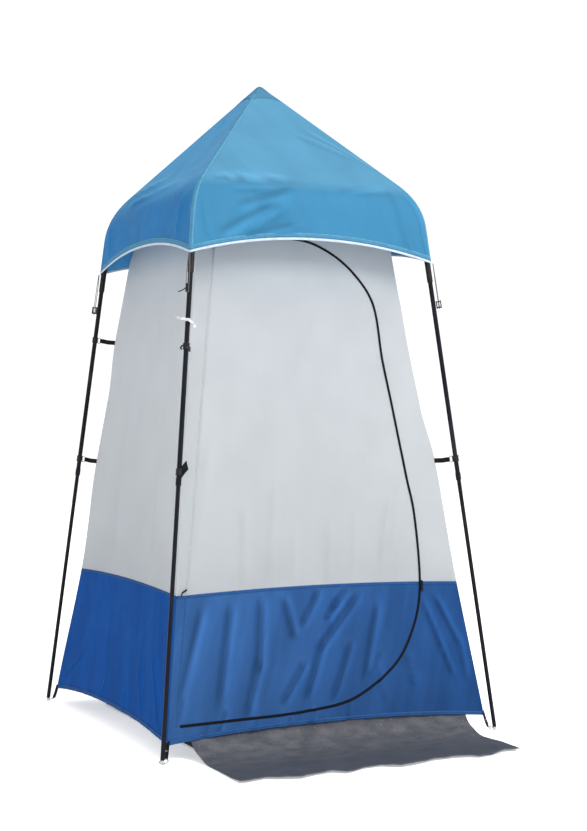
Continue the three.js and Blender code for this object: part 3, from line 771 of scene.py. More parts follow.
def canopy_points(side):
    """The side's cloth as grid[row][column], from its left ridge to its right one."""
    widest = math.pi / 2 * 0.96
    us = np.sin(np.linspace(-widest, widest, 73)) / math.sin(widest)
    profiles = np.stack([canopy_profile(u) for u in us], axis=1)
    half, z = profiles[..., 0], profiles[..., 1]
    u = np.broadcast_to(us, half.shape)
    # Each level's plan is a square with rounded corners: straight in the middle, an arc near u = 1.
    bend = np.minimum(RIDGE_ROUND, half * 0.5)
    straight = half - bend
    along = np.abs(u) * (straight + bend * math.pi / 4)
    over = np.clip((along - straight) / np.maximum(bend, 1e-9), 0, None)
    x = np.sign(u) * np.where(along < straight, along, straight + bend * np.sin(over))
    out = np.where(along < straight, half, straight + bend * np.cos(over))
    lift = canopy_lift(side, x, z, u)
    on_roof = smoothstep((z - SHOULDER_Z + 0.03) / 0.06)
    away = out + lift * (1 - (1 - ROOF_NORMAL) * on_roof)
    return turned(np.stack([x, -away, z + lift * ROOF_NORMAL * on_roof], axis=-1), side)


CANOPY_GRIDS = {side: canopy_points(side) for side in SIDES}


def make_canopy():
    verts, faces, uv, tone = [], [], [], []
    for side, grid in CANOPY_GRIDS.items():
        rows, columns = grid.shape[:2]
        first = len(verts)
        verts.extend(grid.reshape(-1, 3))
        faces.extend([tuple(first + i for i in f) for f in grid_faces(rows, columns)])
        down = np.stack([distance_along(column) for column in np.moveaxis(grid, 1, 0)], axis=1)
        mid = grid[:, columns // 2][:, None]
        across = np.linalg.norm(grid - mid, axis=2) * np.sign(np.arange(columns) - columns // 2)
        uv.extend(np.stack([across, down], axis=-1).reshape(-1, 2))
        x, z = np.linspace(-1, 1, columns) * leg_half(grid[..., 2]), grid[..., 2]
        # Painted shade and highlight along the canopy's folds.
        tone.extend(painted_crease_shade(x, z, CANOPY_FOLDS[side]).ravel())
    canopy = mesh_piece("canopy", verts, faces, uv)
    set_tone(canopy, np.array(tone))
    weld(canopy)
    settle(thicken(canopy), "canopy")
    canopy.data.materials.append(MATERIALS["canopy_inside"])
    canopy.modifiers["thickness"].material_offset = 1
    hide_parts(*[f"canopy_{side}" for side in SIDES])
    return canopy


canopy = make_canopy()


def canopy_hem():
    """The hem's points all round, with the direction down the cloth and out of it at each."""
    path, down, out = [], [], []
    for grid in CANOPY_GRIDS.values():
        for column in range(grid.shape[1] - 1):
            p, above = grid[-1, column], grid[-3, column]
            fall = unit(p - above)
            along = grid[-1, column + 1] - grid[-1, max(column - 1, 0)]
            path.append(p)
            down.append(fall)
            out.append(unit(np.cross(along, -fall)))
    return np.array(path), np.array(down), np.array(out)


def ring_band(name, path, across, normal, section, material):
    """A closed band all round: section holds (across, normal) places of its outline."""
    grid = np.stack([path + across * a + normal * b for a, b in section], axis=1)
    low, high = min(a for a, _ in section), max(a for a, _ in section)
    uv = [(s, (a - low) / (high - low)) for s in distance_along(path) for a, _ in section]
    faces = grid_faces(len(path), len(section), rows_meet=True, columns_meet=True)
    return settle(mesh_piece(name, grid.reshape(-1, 3), faces, uv), material)


def canopy_trim():
    """The valance's binding and hem fold, and the seams over the ridges."""
    path, down, out = canopy_hem()
    binding = [(0.0044 * a, 0.0017 * b) for a, b in circle(1.0, 12)]
    fold = [(-0.021, 0.0006), (-0.020, 0.0011), (-0.006, 0.0012), (-0.006, 0.0007)]
    pieces = [
        ring_band("canopy_binding", path, down, out, binding, "binding"),
        ring_band("canopy_hem_fold", path, down, out, fold, "canopy_seam"),
    ]
    for side, corner in zip(SIDES, CORNERS):
        ridge = CANOPY_GRIDS[side][5:-1, 0]
        across = np.tile(np.array(corner_frame(corner) @ Vector((0, 1, 0))), (len(ridge), 1))
        normal = unit(np.cross(across, np.gradient(ridge, axis=0)))
        if (normal[0] @ np.array([ridge[0][0], ridge[0][1], 1.0])) < 0:
            normal = -normal
        pieces.append(ridge_seam(f"canopy_seam_{corner}", ridge, across, normal))
    return pieces


def ridge_seam(name, ridge, across, normal):
    """The felled seam over a ridge: a band that wraps the rounded crest, stitched at both edges."""
    half = 0.0085
    # Its section: places across it, as shares of its half width, and how far each stands out.
    places = [(-1, 0.0), (-1, 0.0006), (-0.55, 0.0012), (0, 0.0016), (0.55, 0.0012), (1, 0.0006), (1, 0.0)]
    grid = []
    for share, lift in places:
        sag = RIDGE_ROUND - math.sqrt(RIDGE_ROUND**2 - (share * half) ** 2)
        grid.append(ridge + across * (share * half) + normal * (lift - sag + 0.0004))
    uv = [(a, (share + 1) / 2) for a in distance_along(ridge) for share, _ in places]
    points = np.stack(grid, axis=1).reshape(-1, 3)
    obj = mesh_piece(name, points, grid_faces(len(ridge), len(places)), uv)
    return settle(thicken(obj, 0.0005), "canopy_seam")


canopy_pieces = canopy_trim()


def apex_cap():
    """Second layer of cloth round the tip, with an arched lower edge."""
    verts, faces, uv = [], [], []
    rows = 13
    for grid in CANOPY_GRIDS.values():
        columns = grid.shape[1]
        first = len(verts)
        level_step = np.abs(grid[20, columns // 2] - grid[0, 0])[:2].max() / 20
        for row in range(rows):
            for column in range(columns):
                u = 2 * column / (columns - 1) - 1
                level = (0.064 + 0.030 * u * u) * row / (rows - 1) / level_step
                low = int(level)
                p = grid[low, column] * (1 - (level - low)) + grid[low + 1, column] * (level - low)
                outward = np.array([p[0], p[1], 0.0])
                size = np.linalg.norm(outward)
                up = np.array([0, 0, 1.0])
                normal = up if size < 1e-5 else up * ROOF_NORMAL + outward / size * 0.72
                verts.append(p + normal * 0.0012)
                uv.append((column * 0.003, row / (rows - 1)))
        faces.extend([tuple(first + i for i in f) for f in grid_faces(rows, columns)])
    cap = mesh_piece("canopy_apex_patch", verts, faces, uv)
    weld(cap)
    return settle(thicken(cap, 0.0007), "canopy")


canopy_pieces.append(apex_cap())

# ---- walls ----
# How far each corner of the walls is pulled outward, as (z, distance): straps pull it, with slack between.
CORNER_PULL = {
    "back_left": [
        (0.05, 0), (0.51, -0.008), (0.93, 0.006), (1.15, 0.006), (1.37, 0.016), (1.63, 0.015), (1.78, 0.006),
    ],
    "back_right": [
        (0.05, 0), (0.51, -0.004), (0.93, 0.005), (1.15, 0.001), (1.37, 0.009), (1.63, 0.005), (1.78, 0),
    ],
    "front_right": [
        (0.05, 0), (0.51, -0.002), (0.93, 0.004), (1.12, -0.006), (1.29, -0.007), (1.50, -0.004), (1.78, 0),
    ],
    "front_left": [
        (0.05, 0), (0.50, -0.003), (0.905, 0.004), (1.10, -0.002), (1.31, 0.004), (1.55, -0.002), (1.78, 0),
    ],
}
HEM_ARCH = {"front": 0.026, "right": 0.034, "back": 0.034, "left": 0.034}  # rise of a hem's middle
FOLD_DEPTH = {"front": 2.1, "left": 1.8, "right": 1.6, "back": 1.6}  # multiplies the heights in WALL_FOLDS
# Folds of each wall, given as in CANOPY_FOLDS.
WALL_FOLDS = {
    "front": [
        ((-0.442, 0.470), (-0.534, 0.180), 0.015, 0.0075), ((-0.339, 0.480), (-0.401, 0.165), 0.017, 0.0080),
        ((-0.231, 0.490), (-0.255, 0.262), 0.017, 0.0075), ((-0.250, 0.300), (-0.306, 0.125), 0.017, 0.0075),
        ((-0.150, 0.490), (-0.120, 0.360), 0.015, 0.0060), ((-0.020, 0.505), (-0.090, 0.395), 0.014, 0.0060),
        ((0.050, 0.475), (0.000, 0.410), 0.013, 0.0055), ((0.125, 0.485), (-0.030, 0.318), 0.015, 0.0085),
        ((-0.015, 0.345), (-0.088, 0.170), 0.015, 0.0075), ((0.085, 0.510), (0.020, 0.436), 0.013, 0.0055),
        ((0.196, 0.450), (0.128, 0.215), 0.014, 0.0055), ((-0.085, 0.280), (-0.175, 0.155), 0.014, 0.0060),
        ((0.088, 0.335), (0.008, 0.155), 0.014, 0.0065), ((0.205, 0.300), (0.150, 0.215), 0.013, 0.0026),
        ((0.424, 0.465), (0.512, 0.292), 0.012, 0.0055), ((0.505, 0.310), (0.532, 0.170), 0.013, 0.0050),
        ((0.370, 0.460), (0.474, 0.195), 0.011, 0.0050), ((0.298, 0.290), (0.316, 0.175), 0.014, 0.0024),
        ((0.184, 0.250), (0.204, 0.128), 0.013, 0.0016), ((-0.518, 0.190), (-0.538, 0.122), 0.010, 0.0035),
        ((-0.372, 0.150), (-0.408, 0.082), 0.009, 0.0035), ((-0.268, 0.112), (-0.290, 0.072), 0.008, 0.0030),
        ((-0.152, 0.110), (-0.174, 0.068), 0.008, 0.0030), ((-0.060, 0.125), (-0.080, 0.080), 0.009, 0.0030),
        ((0.070, 0.140), (0.060, 0.085), 0.009, 0.0025), ((-0.440, 0.110), (-0.455, 0.070), 0.008, 0.0030),
        ((0.272, 0.800), (0.220, 0.580), 0.014, 0.0032), ((0.312, 0.840), (0.243, 0.580), 0.015, 0.0032),
        ((-0.401, 1.620), (-0.422, 1.380), 0.010, 0.0026), ((-0.092, 0.700), (-0.112, 0.530), 0.014, 0.0020),
        ((-0.270, 0.780), (-0.285, 0.540), 0.016, 0.0022), ((0.038, 0.730), (0.020, 0.530), 0.014, 0.0020),
        ((-0.158, 0.850), (-0.195, 0.540), 0.015, 0.0022), ((0.136, 0.760), (0.110, 0.530), 0.013, 0.0020),
        ((-0.380, 1.000), (-0.470, 0.620), 0.018, 0.0022), ((0.100, 1.550), (-0.060, 1.180), 0.030, 0.0018),
    ],
    "left": [
        ((0.500, 0.440), (0.555, 0.120), 0.016, 0.0050), ((0.380, 0.300), (0.500, 0.090), 0.017, 0.0045),
        ((0.250, 0.260), (0.330, 0.110), 0.015, 0.0030), ((-0.350, 0.200), (-0.520, 0.085), 0.014, 0.0035),
        ((0.100, 1.700), (0.060, 1.350), 0.020, 0.0020), ((-0.150, 0.900), (-0.170, 0.560), 0.018, 0.0018),
        ((0.220, 0.880), (0.260, 0.560), 0.018, 0.0020), ((-0.060, 0.160), (-0.080, 0.085), 0.011, 0.0030),
        ((0.150, 0.160), (0.165, 0.085), 0.011, 0.0030),
    ],
    "right": [
        ((-0.500, 0.440), (-0.550, 0.120), 0.015, 0.0050), ((-0.300, 0.480), (-0.420, 0.160), 0.016, 0.0055),
        ((-0.080, 0.480), (-0.150, 0.180), 0.016, 0.0050), ((0.120, 0.480), (0.150, 0.180), 0.016, 0.0050),
        ((0.330, 0.470), (0.450, 0.130), 0.015, 0.0055), ((-0.230, 0.820), (-0.260, 0.560), 0.016, 0.0022),
        ((0.180, 0.860), (0.200, 0.560), 0.016, 0.0022),
    ],
    "back": [
        ((-0.470, 0.460), (-0.540, 0.150), 0.015, 0.0050), ((-0.260, 0.480), (-0.330, 0.140), 0.017, 0.0055),
        ((-0.050, 0.480), (-0.060, 0.160), 0.016, 0.0045), ((0.180, 0.480), (0.240, 0.140), 0.017, 0.0055),
        ((0.400, 0.470), (0.500, 0.120), 0.015, 0.0055), ((-0.120, 0.850), (-0.150, 0.560), 0.017, 0.0022),
        ((0.210, 0.800), (0.240, 0.560), 0.015, 0.0022),
    ],
}


def wall_hem_z(side, x):
    u = np.clip(np.abs(x) / wall_half(WALL_HEM_Z), 0, 1)
    return WALL_HEM_Z + HEM_ARCH[side] * (1 - u**2.3)


def seam_z(x):
    return SEAM_CORNER_Z + SEAM_RISE * (1 - (x / wall_half(SEAM_CORNER_Z)) ** 2)


def pull(corner, z):
    """How far outward a corner of the walls is pulled at those heights."""
    places = np.array(CORNER_PULL[corner])
    index = np.clip(np.searchsorted(places[:, 0], z) - 1, 0, len(places) - 2)
    low, high = places[index], places[index + 1]
    t = smoothstep((z - low[..., 0]) / (high[..., 0] - low[..., 0]))
    return low[..., 1] * (1 - t) + high[..., 1] * t


def wall_lift(side, x, z):
    """How far a wall's cloth stands out of its plane."""
    seed = 11 + 5 * list(SIDES).index(side)
    u = np.clip(np.abs(x) / wall_half(z), 0, 1)
    blue = smoothstep((seam_z(x) + 0.05 - z) / 0.10)
    lift = (0.0016 + 0.0018 * blue) * cloth_noise(x, z * 0.45, 0.19, seed)
    lift = lift + (0.0004 + 0.0009 * blue) * cloth_noise(x, z * 0.5, 0.045, seed + 3)
    from_seam = np.exp(-np.abs(z - seam_z(x)) / 0.035)
    lift = lift + 0.0011 * from_seam * value_noise(x / 0.014, z / 0.20, seed + 4)
    from_hem = np.exp(-np.abs(z - wall_hem_z(side, x)) / 0.03)
    lift = lift + 0.0016 * from_hem * value_noise(x / 0.021, z / 0.30, seed + 5)
    for start, end, width, height in WALL_FOLDS[side]:
        lift = lift + FOLD_DEPTH[side] * crease(x, z, start, end, width, height)
    if side == "front":
        # The cloth is nearly flat at the hinge, and beside the stretch of the zip that the slider runs on.
        lift = lift * (0.01 + 0.99 * smoothstep(np.abs(x - hinge_x(z)) / 0.05))
        off_zip = smoothstep(np.abs(x - np.interp(z, ZIP_RISE[1], ZIP_RISE[0])) / 0.060)
        at_slider = smoothstep((z - 0.36) / 0.08) * smoothstep((0.84 - z) / 0.08)
        lift = lift * (1 - 0.95 * at_slider * (1 - off_zip))
    return lift * (1 - u**7)


# The straps draw the front left corner round behind its leg: how far it moves in (x, y) per metre of height.
CORNER_DRIFT = (-0.0181, 0.0085)


def wall_line(side, x, z):
    """Smooth shape of a wall before its folds: how far along it and how far out each place lies."""
    u = x / wall_half(z)
    left, right = (pull(corner, z) for corner in WALL_ENDS[side])
    plain = wall_half(z) - 0.001
    if side == "front":
        # The strip outside the hinge takes up what the corner moves, so that the hinge stays straight.
        strip_share = np.clip((np.abs(x) - np.abs(hinge_x(z))) / HINGE_INSET, 0, 1) * (x < 0)
        right_share = smoothstep((u - 0.7) / 0.3)
        across = x + right_share * right + strip_share * (z * CORNER_DRIFT[0] - left)
        away = plain + right_share * right + strip_share * (left - z * CORNER_DRIFT[1])
        return across, away
    across = x + np.where(u > 0, u * right, u * left)
    away = plain + left + (right - left) * (u + 1) / 2
    if side == "left":
        share = (u + 1) / 2 * z
        across, away = across - share * CORNER_DRIFT[1], away - share * CORNER_DRIFT[0]
    return across, away


def wall_points(side, x, z, out=0.0):
    """Places on a wall's cloth, for arrays of x and z; out moves them off it."""
    x, z = np.asarray(x, float), np.asarray(z, float)
    across, away = wall_line(side, x, z)
    lift = wall_lift(side, x, z) + out
    local = np.stack([across, -(away + lift * math.cos(WALL_TILT)), z + lift * math.sin(WALL_TILT)], axis=-1)
    return turned(local, side)


def wall_normals(side, x, z):
    """Unit vectors out of the cloth."""
    step = 0.002
    dx = wall_points(side, np.asarray(x) + step, z) - wall_points(side, np.asarray(x) - step, z)
    dz = wall_points(side, x, np.asarray(z) + step) - wall_points(side, x, np.asarray(z) - step)
    return unit(np.cross(dx, dz))


def face_area(x, z, face):
    """Area of a face of (x, z) places, with a minus sign if they run clockwise."""
    px, pz = x[list(face)], z[list(face)]
    return (np.dot(px, np.roll(pz, -1)) - np.dot(pz, np.roll(px, -1))) / 2


def cut_size(side, x, z, faces):
    """Width, length and area of the cloth as it was cut, before it was hung."""
    x = wall_line(side, x, z)[0]
    area = 0.0
    for face in faces:
        area += abs(face_area(x, z, face))
    slope = 1 / math.cos(WALL_TILT)
    best = None
    for turn in np.radians(np.arange(0, 90, 1.0)):
        wide = float(np.ptp(x * math.cos(turn) + z * slope * math.sin(turn)))
        long = float(np.ptp(z * slope * math.cos(turn) - x * math.sin(turn)))
        if best is None or wide * long < best[0] * best[1]:
            best = wide, long
    return (*best, float(area) * slope)


def cloth_from_plane(name, side, x, z, faces, material, body="root"):
    """A wall's cloth as a single surface, whose normals follow its shape and not only its mesh."""
    points = wall_points(side, x, z)
    uv = np.stack([x, z / math.cos(WALL_TILT)], axis=-1)
    facing_out = [face if face_area(x, z, face) > 0 else tuple(reversed(face)) for face in faces]
    obj = mesh_piece(name, points, facing_out, uv)
    # Painted shade and highlight along the wall's folds.
    set_tone(obj, painted_crease_shade(x, z, WALL_FOLDS[side]))
    if len(obj.data.vertices) == len(points):
        obj.data.normals_split_custom_set_from_vertices(wall_normals(side, x, z))
    return settle(obj, material, body)


def plain_wall(side):
    """A wall with no door: the blue cloth below the seam, the grey above it."""
    columns = 141
    u = np.linspace(-1, 1, columns)
    made = []
    for part, rows, material, slot in (
        ("lower", 75, "blue", "blue_cloth"), ("upper", 150, "grey_side", "grey_cloth"),
    ):
        t = np.linspace(0, 1, rows)[:, None]
        guess = u * wall_half(SEAM_CORNER_Z)
        if part == "lower":
            low, high = wall_hem_z(side, u * wall_half(WALL_HEM_Z)), seam_z(guess)
        else:
            low, high = seam_z(guess), np.full(columns, WALL_TOP_Z)
        z = low * (1 - t) + high * t
        x, z = (u * wall_half(z)).ravel(), z.ravel()
        faces = grid_faces(rows, columns)
        obj = cloth_from_plane(f"wall_cloth_{side}_{part}", side, x, z, faces, material)
        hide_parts(f"wall_{side}_{part}")
        made.append((obj, cut_size(side, x, z, faces)))
    return made


HINGE_FOOT_Z = 0.106
HINGE_HEAD_Z = 1.645
ZIP_GAP = 0.0006  # from the zip's middle to the edge of the cloth on either side
ZIP_POINTS = [
    (hinge_x(HINGE_FOOT_Z), HINGE_FOOT_Z), (-0.354, 0.110), (-0.100, 0.118), (0.087, 0.147), (0.257, 0.254),
    (0.328, 0.362), (0.364, 0.480), (0.364, 0.751), (0.345, 0.868), (0.306, 1.132), (0.283, 1.276),
    (0.259, 1.479), (0.193, 1.578), (0.109, 1.645), (0.009, 1.684), (-0.150, 1.686), (-0.250, 1.672),
    (hinge_x(HINGE_HEAD_Z), HINGE_HEAD_Z),
]
ZIP = smooth_curve(ZIP_POINTS, 900)
# Its right side from the foot up, in rising order: a row of x and a row of z.
ZIP_RISE = np.array(sorted((tuple(p) for p in ZIP if p[0] > 0.2 and p[1] < 1.2), key=lambda p: p[1])).T
# The points of it at the lower and the upper right corner of the door's grid.
KNEE, SHOULDER = (
    int(np.argmin(np.hypot(ZIP[:, 0] - x, ZIP[:, 1] - z))) for x, z in ((0.300, 0.310), (0.205, 1.565))
)


def patch(left, bottom, right, top):
    """A grid of (x, z) inside four boundary lines. left and right run up, bottom and top run right."""
    rows, columns = len(left), len(bottom)
    t, s = np.linspace(0, 1, rows)[:, None, None], np.linspace(0, 1, columns)[None, :, None]
    ruled = (1 - t) * bottom[None] + t * top[None] + (1 - s) * left[:, None] + s * right[:, None]
    lower = (1 - s) * (1 - t) * bottom[0] + s * (1 - t) * bottom[-1]
    upper = (1 - s) * t * top[0] + s * t * top[-1]
    return ruled - (lower + upper)


def outline_offset(path, distance):
    """The path moved to its right-hand side."""
    along = unit(np.gradient(path, axis=0))
    return path + np.stack([along[:, 1], -along[:, 0]], axis=1) * distance


def cut_at_seam(grids, keep):
    """Joins grids of (x, z) into one flat mesh and keeps what is below or above the seam."""
    work = bmesh.new()
    for grid in grids:
        rows, columns = grid.shape[:2]
        verts = [work.verts.new((x, 0, z - seam_z(x))) for x, z in grid.reshape(-1, 2)]
        for face in grid_faces(rows, columns):
            work.faces.new([verts[i] for i in face])
    bmesh.ops.remove_doubles(work, verts=work.verts, dist=0.00001)
    everything = work.verts[:] + work.edges[:] + work.faces[:]
    bmesh.ops.bisect_plane(
        work, geom=everything, dist=0.0002, plane_co=(0, 0, 0), plane_no=(0, 0, 1),
        clear_outer=keep == "lower", clear_inner=keep == "upper",
    )
    work.verts.index_update()
    x = np.array([v.co.x for v in work.verts])
    z = np.array([v.co.z for v in work.verts]) + seam_z(x)
    faces = [tuple(v.index for v in f.verts) for f in work.faces]
    work.free()
    return x, z, faces


def hinge_line(z):
    return np.stack([hinge_x(z), z], axis=1)


def door_grid():
    path = outline_offset(ZIP, -ZIP_GAP)
    rows, columns = 170, 110
    hinge = hinge_line(np.linspace(HINGE_FOOT_Z, HINGE_HEAD_Z, rows))
    bottom = resample(np.vstack([hinge[:1], path[2:KNEE]]), columns)
    right = resample(path[KNEE - 1:SHOULDER], rows)
    top = resample(np.vstack([path[SHOULDER - 1:-2], hinge[-1:]]), columns)[::-1]
    bottom[-1], top[-1] = right[0], right[-1]
    return patch(hinge, bottom, right, top)


def front_wall_grids():
    """The cloth round the door: four grids between the door's outline and the wall's edges."""
    path = outline_offset(ZIP, ZIP_GAP)
    across, up, sill_count, head_count = 14, 170, 150, 120

    def between(inner, outer):
        t = np.linspace(0, 1, across)[:, None, None]
        return inner[None] * (1 - t) + outer[None] * t

    def on_edge(sign, z):
        return np.stack([sign * wall_half(z), z], axis=1)

    hinge = hinge_line(np.linspace(HINGE_HEAD_Z, HINGE_FOOT_Z, up))
    left = between(hinge, on_edge(-1, np.linspace(WALL_TOP_Z, WALL_HEM_Z, up)))
    sill = resample(np.vstack([hinge[-1:], path[2:KNEE]]), sill_count)
    hem_x = np.linspace(-1, 1, sill_count) * wall_half(WALL_HEM_Z)
    bottom = between(sill, np.stack([hem_x, wall_hem_z("front", hem_x)], axis=1))
    jamb = resample(path[KNEE - 1:SHOULDER], up)
    jamb[0] = sill[-1]
    right = between(jamb, on_edge(1, np.linspace(WALL_HEM_Z, WALL_TOP_Z, up)))
    head = resample(np.vstack([jamb[-1:], path[SHOULDER:-2], hinge[:1]]), head_count)
    top_x = np.linspace(1, -1, head_count) * wall_half(WALL_TOP_Z)
    top = between(head, np.stack([top_x, np.full(head_count, WALL_TOP_Z)], axis=1))
    return [left, bottom, right, top]


def sag_with_door(obj):
    """A door piece: its modifiers are applied, and it gets a mesh of its own."""
    for modifier in list(obj.modifiers):
        with bpy.context.temp_override(object=obj, active_object=obj):
            bpy.ops.object.modifier_apply(modifier=modifier.name)
    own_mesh(obj)
    return obj


def make_walls():
    made = {}
    for side in ("right", "back", "left"):
        for obj, cut in plain_wall(side):
            made[obj.name] = (obj, cut)
    strip_grid, skirt_grid, panel_grid, head_grid = front_wall_grids()
    for name, part, grids in (
        ("front_skirt", "lower", [strip_grid, skirt_grid, panel_grid]),
        ("front_hinge_strip", "upper", [strip_grid]),
        ("front_side_panel", "upper", [panel_grid]),
        ("front_head_panel", "upper", [head_grid]),
        ("door_cloth_lower", "lower", [door_grid()]),
        ("door_cloth_upper", "upper", [door_grid()]),
    ):
        x, z, faces = cut_at_seam(grids, part)
        material, slot = ("blue_front", "blue_cloth") if part == "lower" else ("grey", "grey_cloth")
        on_door = name.startswith("door")
        obj = cloth_from_plane(name, "front", x, z, faces, material, "door" if on_door else "root")
        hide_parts(f"door_{part}" if on_door else f"front_wall_{part}")
        if on_door:
            sag_with_door(obj)
        made[name] = (obj, cut_size("front", x, z, faces))
    return made


walls = make_walls()


def wall_band(name, side, x, z, width, lift, material, slot, body="root", thickness=0.0010):
    """A narrow band sewn on a wall, along arrays of x and z."""
    path = wall_points(side, x, z, lift)
    normal = wall_normals(side, x, z)
    across = np.cross(unit(np.gradient(path, axis=0)), normal)
    obj = strip(name, path, across, width, normal, material, thickness, body)
    return sag_with_door(obj) if body == "door" else obj


SEAM_WIDTH = 0.009
HEM_WIDTH = 0.014
BAND_LIFT = 0.0008  # from the cloth's middle to a band's


def seam_band(name, side, x, body="root"):
    """The felled seam between the blue and the grey cloth."""
    z = seam_z(x) - 0.004
    return wall_band(name, side, x, z, SEAM_WIDTH, BAND_LIFT, "blue_seam", "blue_cloth", body)


def wall_trim():
    """Hems, seams and the hinge's seam, as lists of pieces under the name of the cloth that they are on."""
    trim = {}
    evenly = np.linspace(-0.995, 0.995, 150)
    for side in SIDES:
        hem_x = evenly * wall_half(WALL_HEM_Z)
        hem = wall_hem_z(side, hem_x) + HEM_WIDTH / 2
        lower = "front_skirt" if side == "front" else f"wall_cloth_{side}_lower"
        trim[lower] = [
            wall_band(f"wall_hem_{side}", side, hem_x, hem, HEM_WIDTH, BAND_LIFT, "blue_seam", "blue_cloth"),
        ]
        if side != "front":
            trim[lower].append(seam_band(f"wall_seam_{side}", side, evenly * wall_half(SEAM_CORNER_Z)))
    trim["door_cloth_lower"] = []
    seam_hinge_x = hinge_x(SEAM_CORNER_Z)
    seam_zip_x = 0.3632
    seam_end_x = wall_half(SEAM_CORNER_Z) * 0.995
    for name, low, high, body, cloth in (
        ("wall_seam_front_right", seam_zip_x + 0.006, seam_end_x, "root", "front_skirt"),
        ("door_seam", seam_hinge_x + 0.003, seam_zip_x - 0.006, "door", "door_cloth_lower"),
        ("wall_seam_front_left", -seam_end_x, seam_hinge_x - 0.001, "root", "front_skirt"),
    ):
        x = np.linspace(low, high, max(6, int((high - low) / 0.008)))
        trim[cloth].append(seam_band(name, "front", x, body))
    trim["front_hinge_strip"] = []
    for part, low, high, material, slot, cloth in (
        ("lower", HINGE_FOOT_Z, SEAM_CORNER_Z, "blue_seam", "blue_cloth", "front_skirt"),
        ("upper", SEAM_CORNER_Z + 0.003, HINGE_HEAD_Z, "grey_seam", "grey_cloth", "front_hinge_strip"),
    ):
        z = np.linspace(low, high, int((high - low) / 0.009))
        # The tape is inside, behind the door's sewn edge, and keeps light out there when the door is open.
        for kind, shift, width, lift, thickness in (
            ("seam", -0.0018, 0.0032, 0.0001, 0.0002), ("tape", 0.0004, 0.0052, -0.0012, 0.0003),
        ):
            trim[cloth].append(wall_band(
                f"hinge_{kind}_{part}", "front", hinge_x(z) + shift, z, width, lift, material, slot,
                thickness=thickness,
            ))
    return trim


trim = wall_trim()

COIL_RADIUS = 0.0012
COIL_OFFSET = 0.0013  # from the zip's middle
COIL_LIFT = 0.0022
ZIP_TAPE_OFFSET = 0.0023
ZIP_TAPE_WIDTH = 0.0036
ZIP_TAPE_LIFT = 0.0011
ZIP_GUARD_WIDTH = 0.008
ZIP_GUARD_LIFT = -0.0024


def zip_halves():
    """Each side of the zip: a narrow tape on its cloth and a coil along the tape's edge."""
    pieces = {"root": [], "door": []}
    path = ZIP[4:-90]
    finish = ("black_tape", "webbing")
    for body, sign in (("root", 1), ("door", -1)):
        x, z = outline_offset(path, sign * ZIP_TAPE_OFFSET)[::2].T
        pieces[body].append(wall_band(
            f"zip_tape_{body}", "front", x, z, ZIP_TAPE_WIDTH, ZIP_TAPE_LIFT, *finish, body))
        x, z = outline_offset(path, sign * COIL_OFFSET)[::2].T
        line = wall_points("front", x, z, COIL_LIFT)
        obj = tube(f"zip_coil_{body}", line, COIL_RADIUS, "zip", "plastic", body, sides=8)
        pieces[body].append(sag_with_door(obj) if body == "door" else obj)
    # A narrow flap inside keeps light and water out of the gap between the two coils.
    x, z = path[::2].T
    pieces["root"].append(wall_band("zip_guard", "front", x, z, ZIP_GUARD_WIDTH, ZIP_GUARD_LIFT, *finish))
    return pieces


zip_pieces = zip_halves()
trim["front_side_panel"] = zip_pieces["root"]
trim["door_cloth_upper"] = zip_pieces["door"]

# ---- mat at the door and groundsheet ----
LAID_Z = 0.0012  # middle of a cloth that lies flat on the ground
# Outline of the mat, for someone who stands on it and faces the door: (x, y) down its left and right edges,
# and along its front edge.
MAT_LEFT = [(-0.502, -0.575), (-0.495, -0.654), (-0.494, -0.773), (-0.498, -0.955)]
MAT_RIGHT = [(0.512, -0.575), (0.507, -0.693), (0.518, -0.799), (0.506, -0.926)]
MAT_FRONT = [
    (-0.498, -0.955), (-0.450, -0.945), (-0.403, -0.930), (-0.376, -0.950), (-0.301, -0.977),
    (-0.251, -0.954), (-0.185, -0.942), (-0.151, -0.976), (-0.075, -0.938), (-0.011, -0.934),
    (0.032, -0.971), (0.091, -0.965), (0.173, -0.934), (0.257, -0.931), (0.300, -0.940), (0.329, -0.961),
    (0.389, -0.946), (0.448, -0.919), (0.506, -0.926),
]
# Its line from inside the front wall's hem down to the ground, as (y, z).
MAT_FALL = [
    (-0.5735, 0.084), (-0.5775, 0.060), (-0.589, 0.044), (-0.607, 0.031), (-0.638, 0.018), (-0.668, 0.008),
    (-0.702, 0.0025), (-0.735, LAID_Z),
]


def ground_cloth(name, x, y, z):
    """A cloth on the ground, given as grids of x, y and z."""
    uv = np.stack([x.ravel(), y.ravel()], axis=-1)
    points = np.stack([x, y, z], axis=-1).reshape(-1, 3)
    return settle(mesh_piece(name, points, grid_faces(*x.shape), uv), "mat")


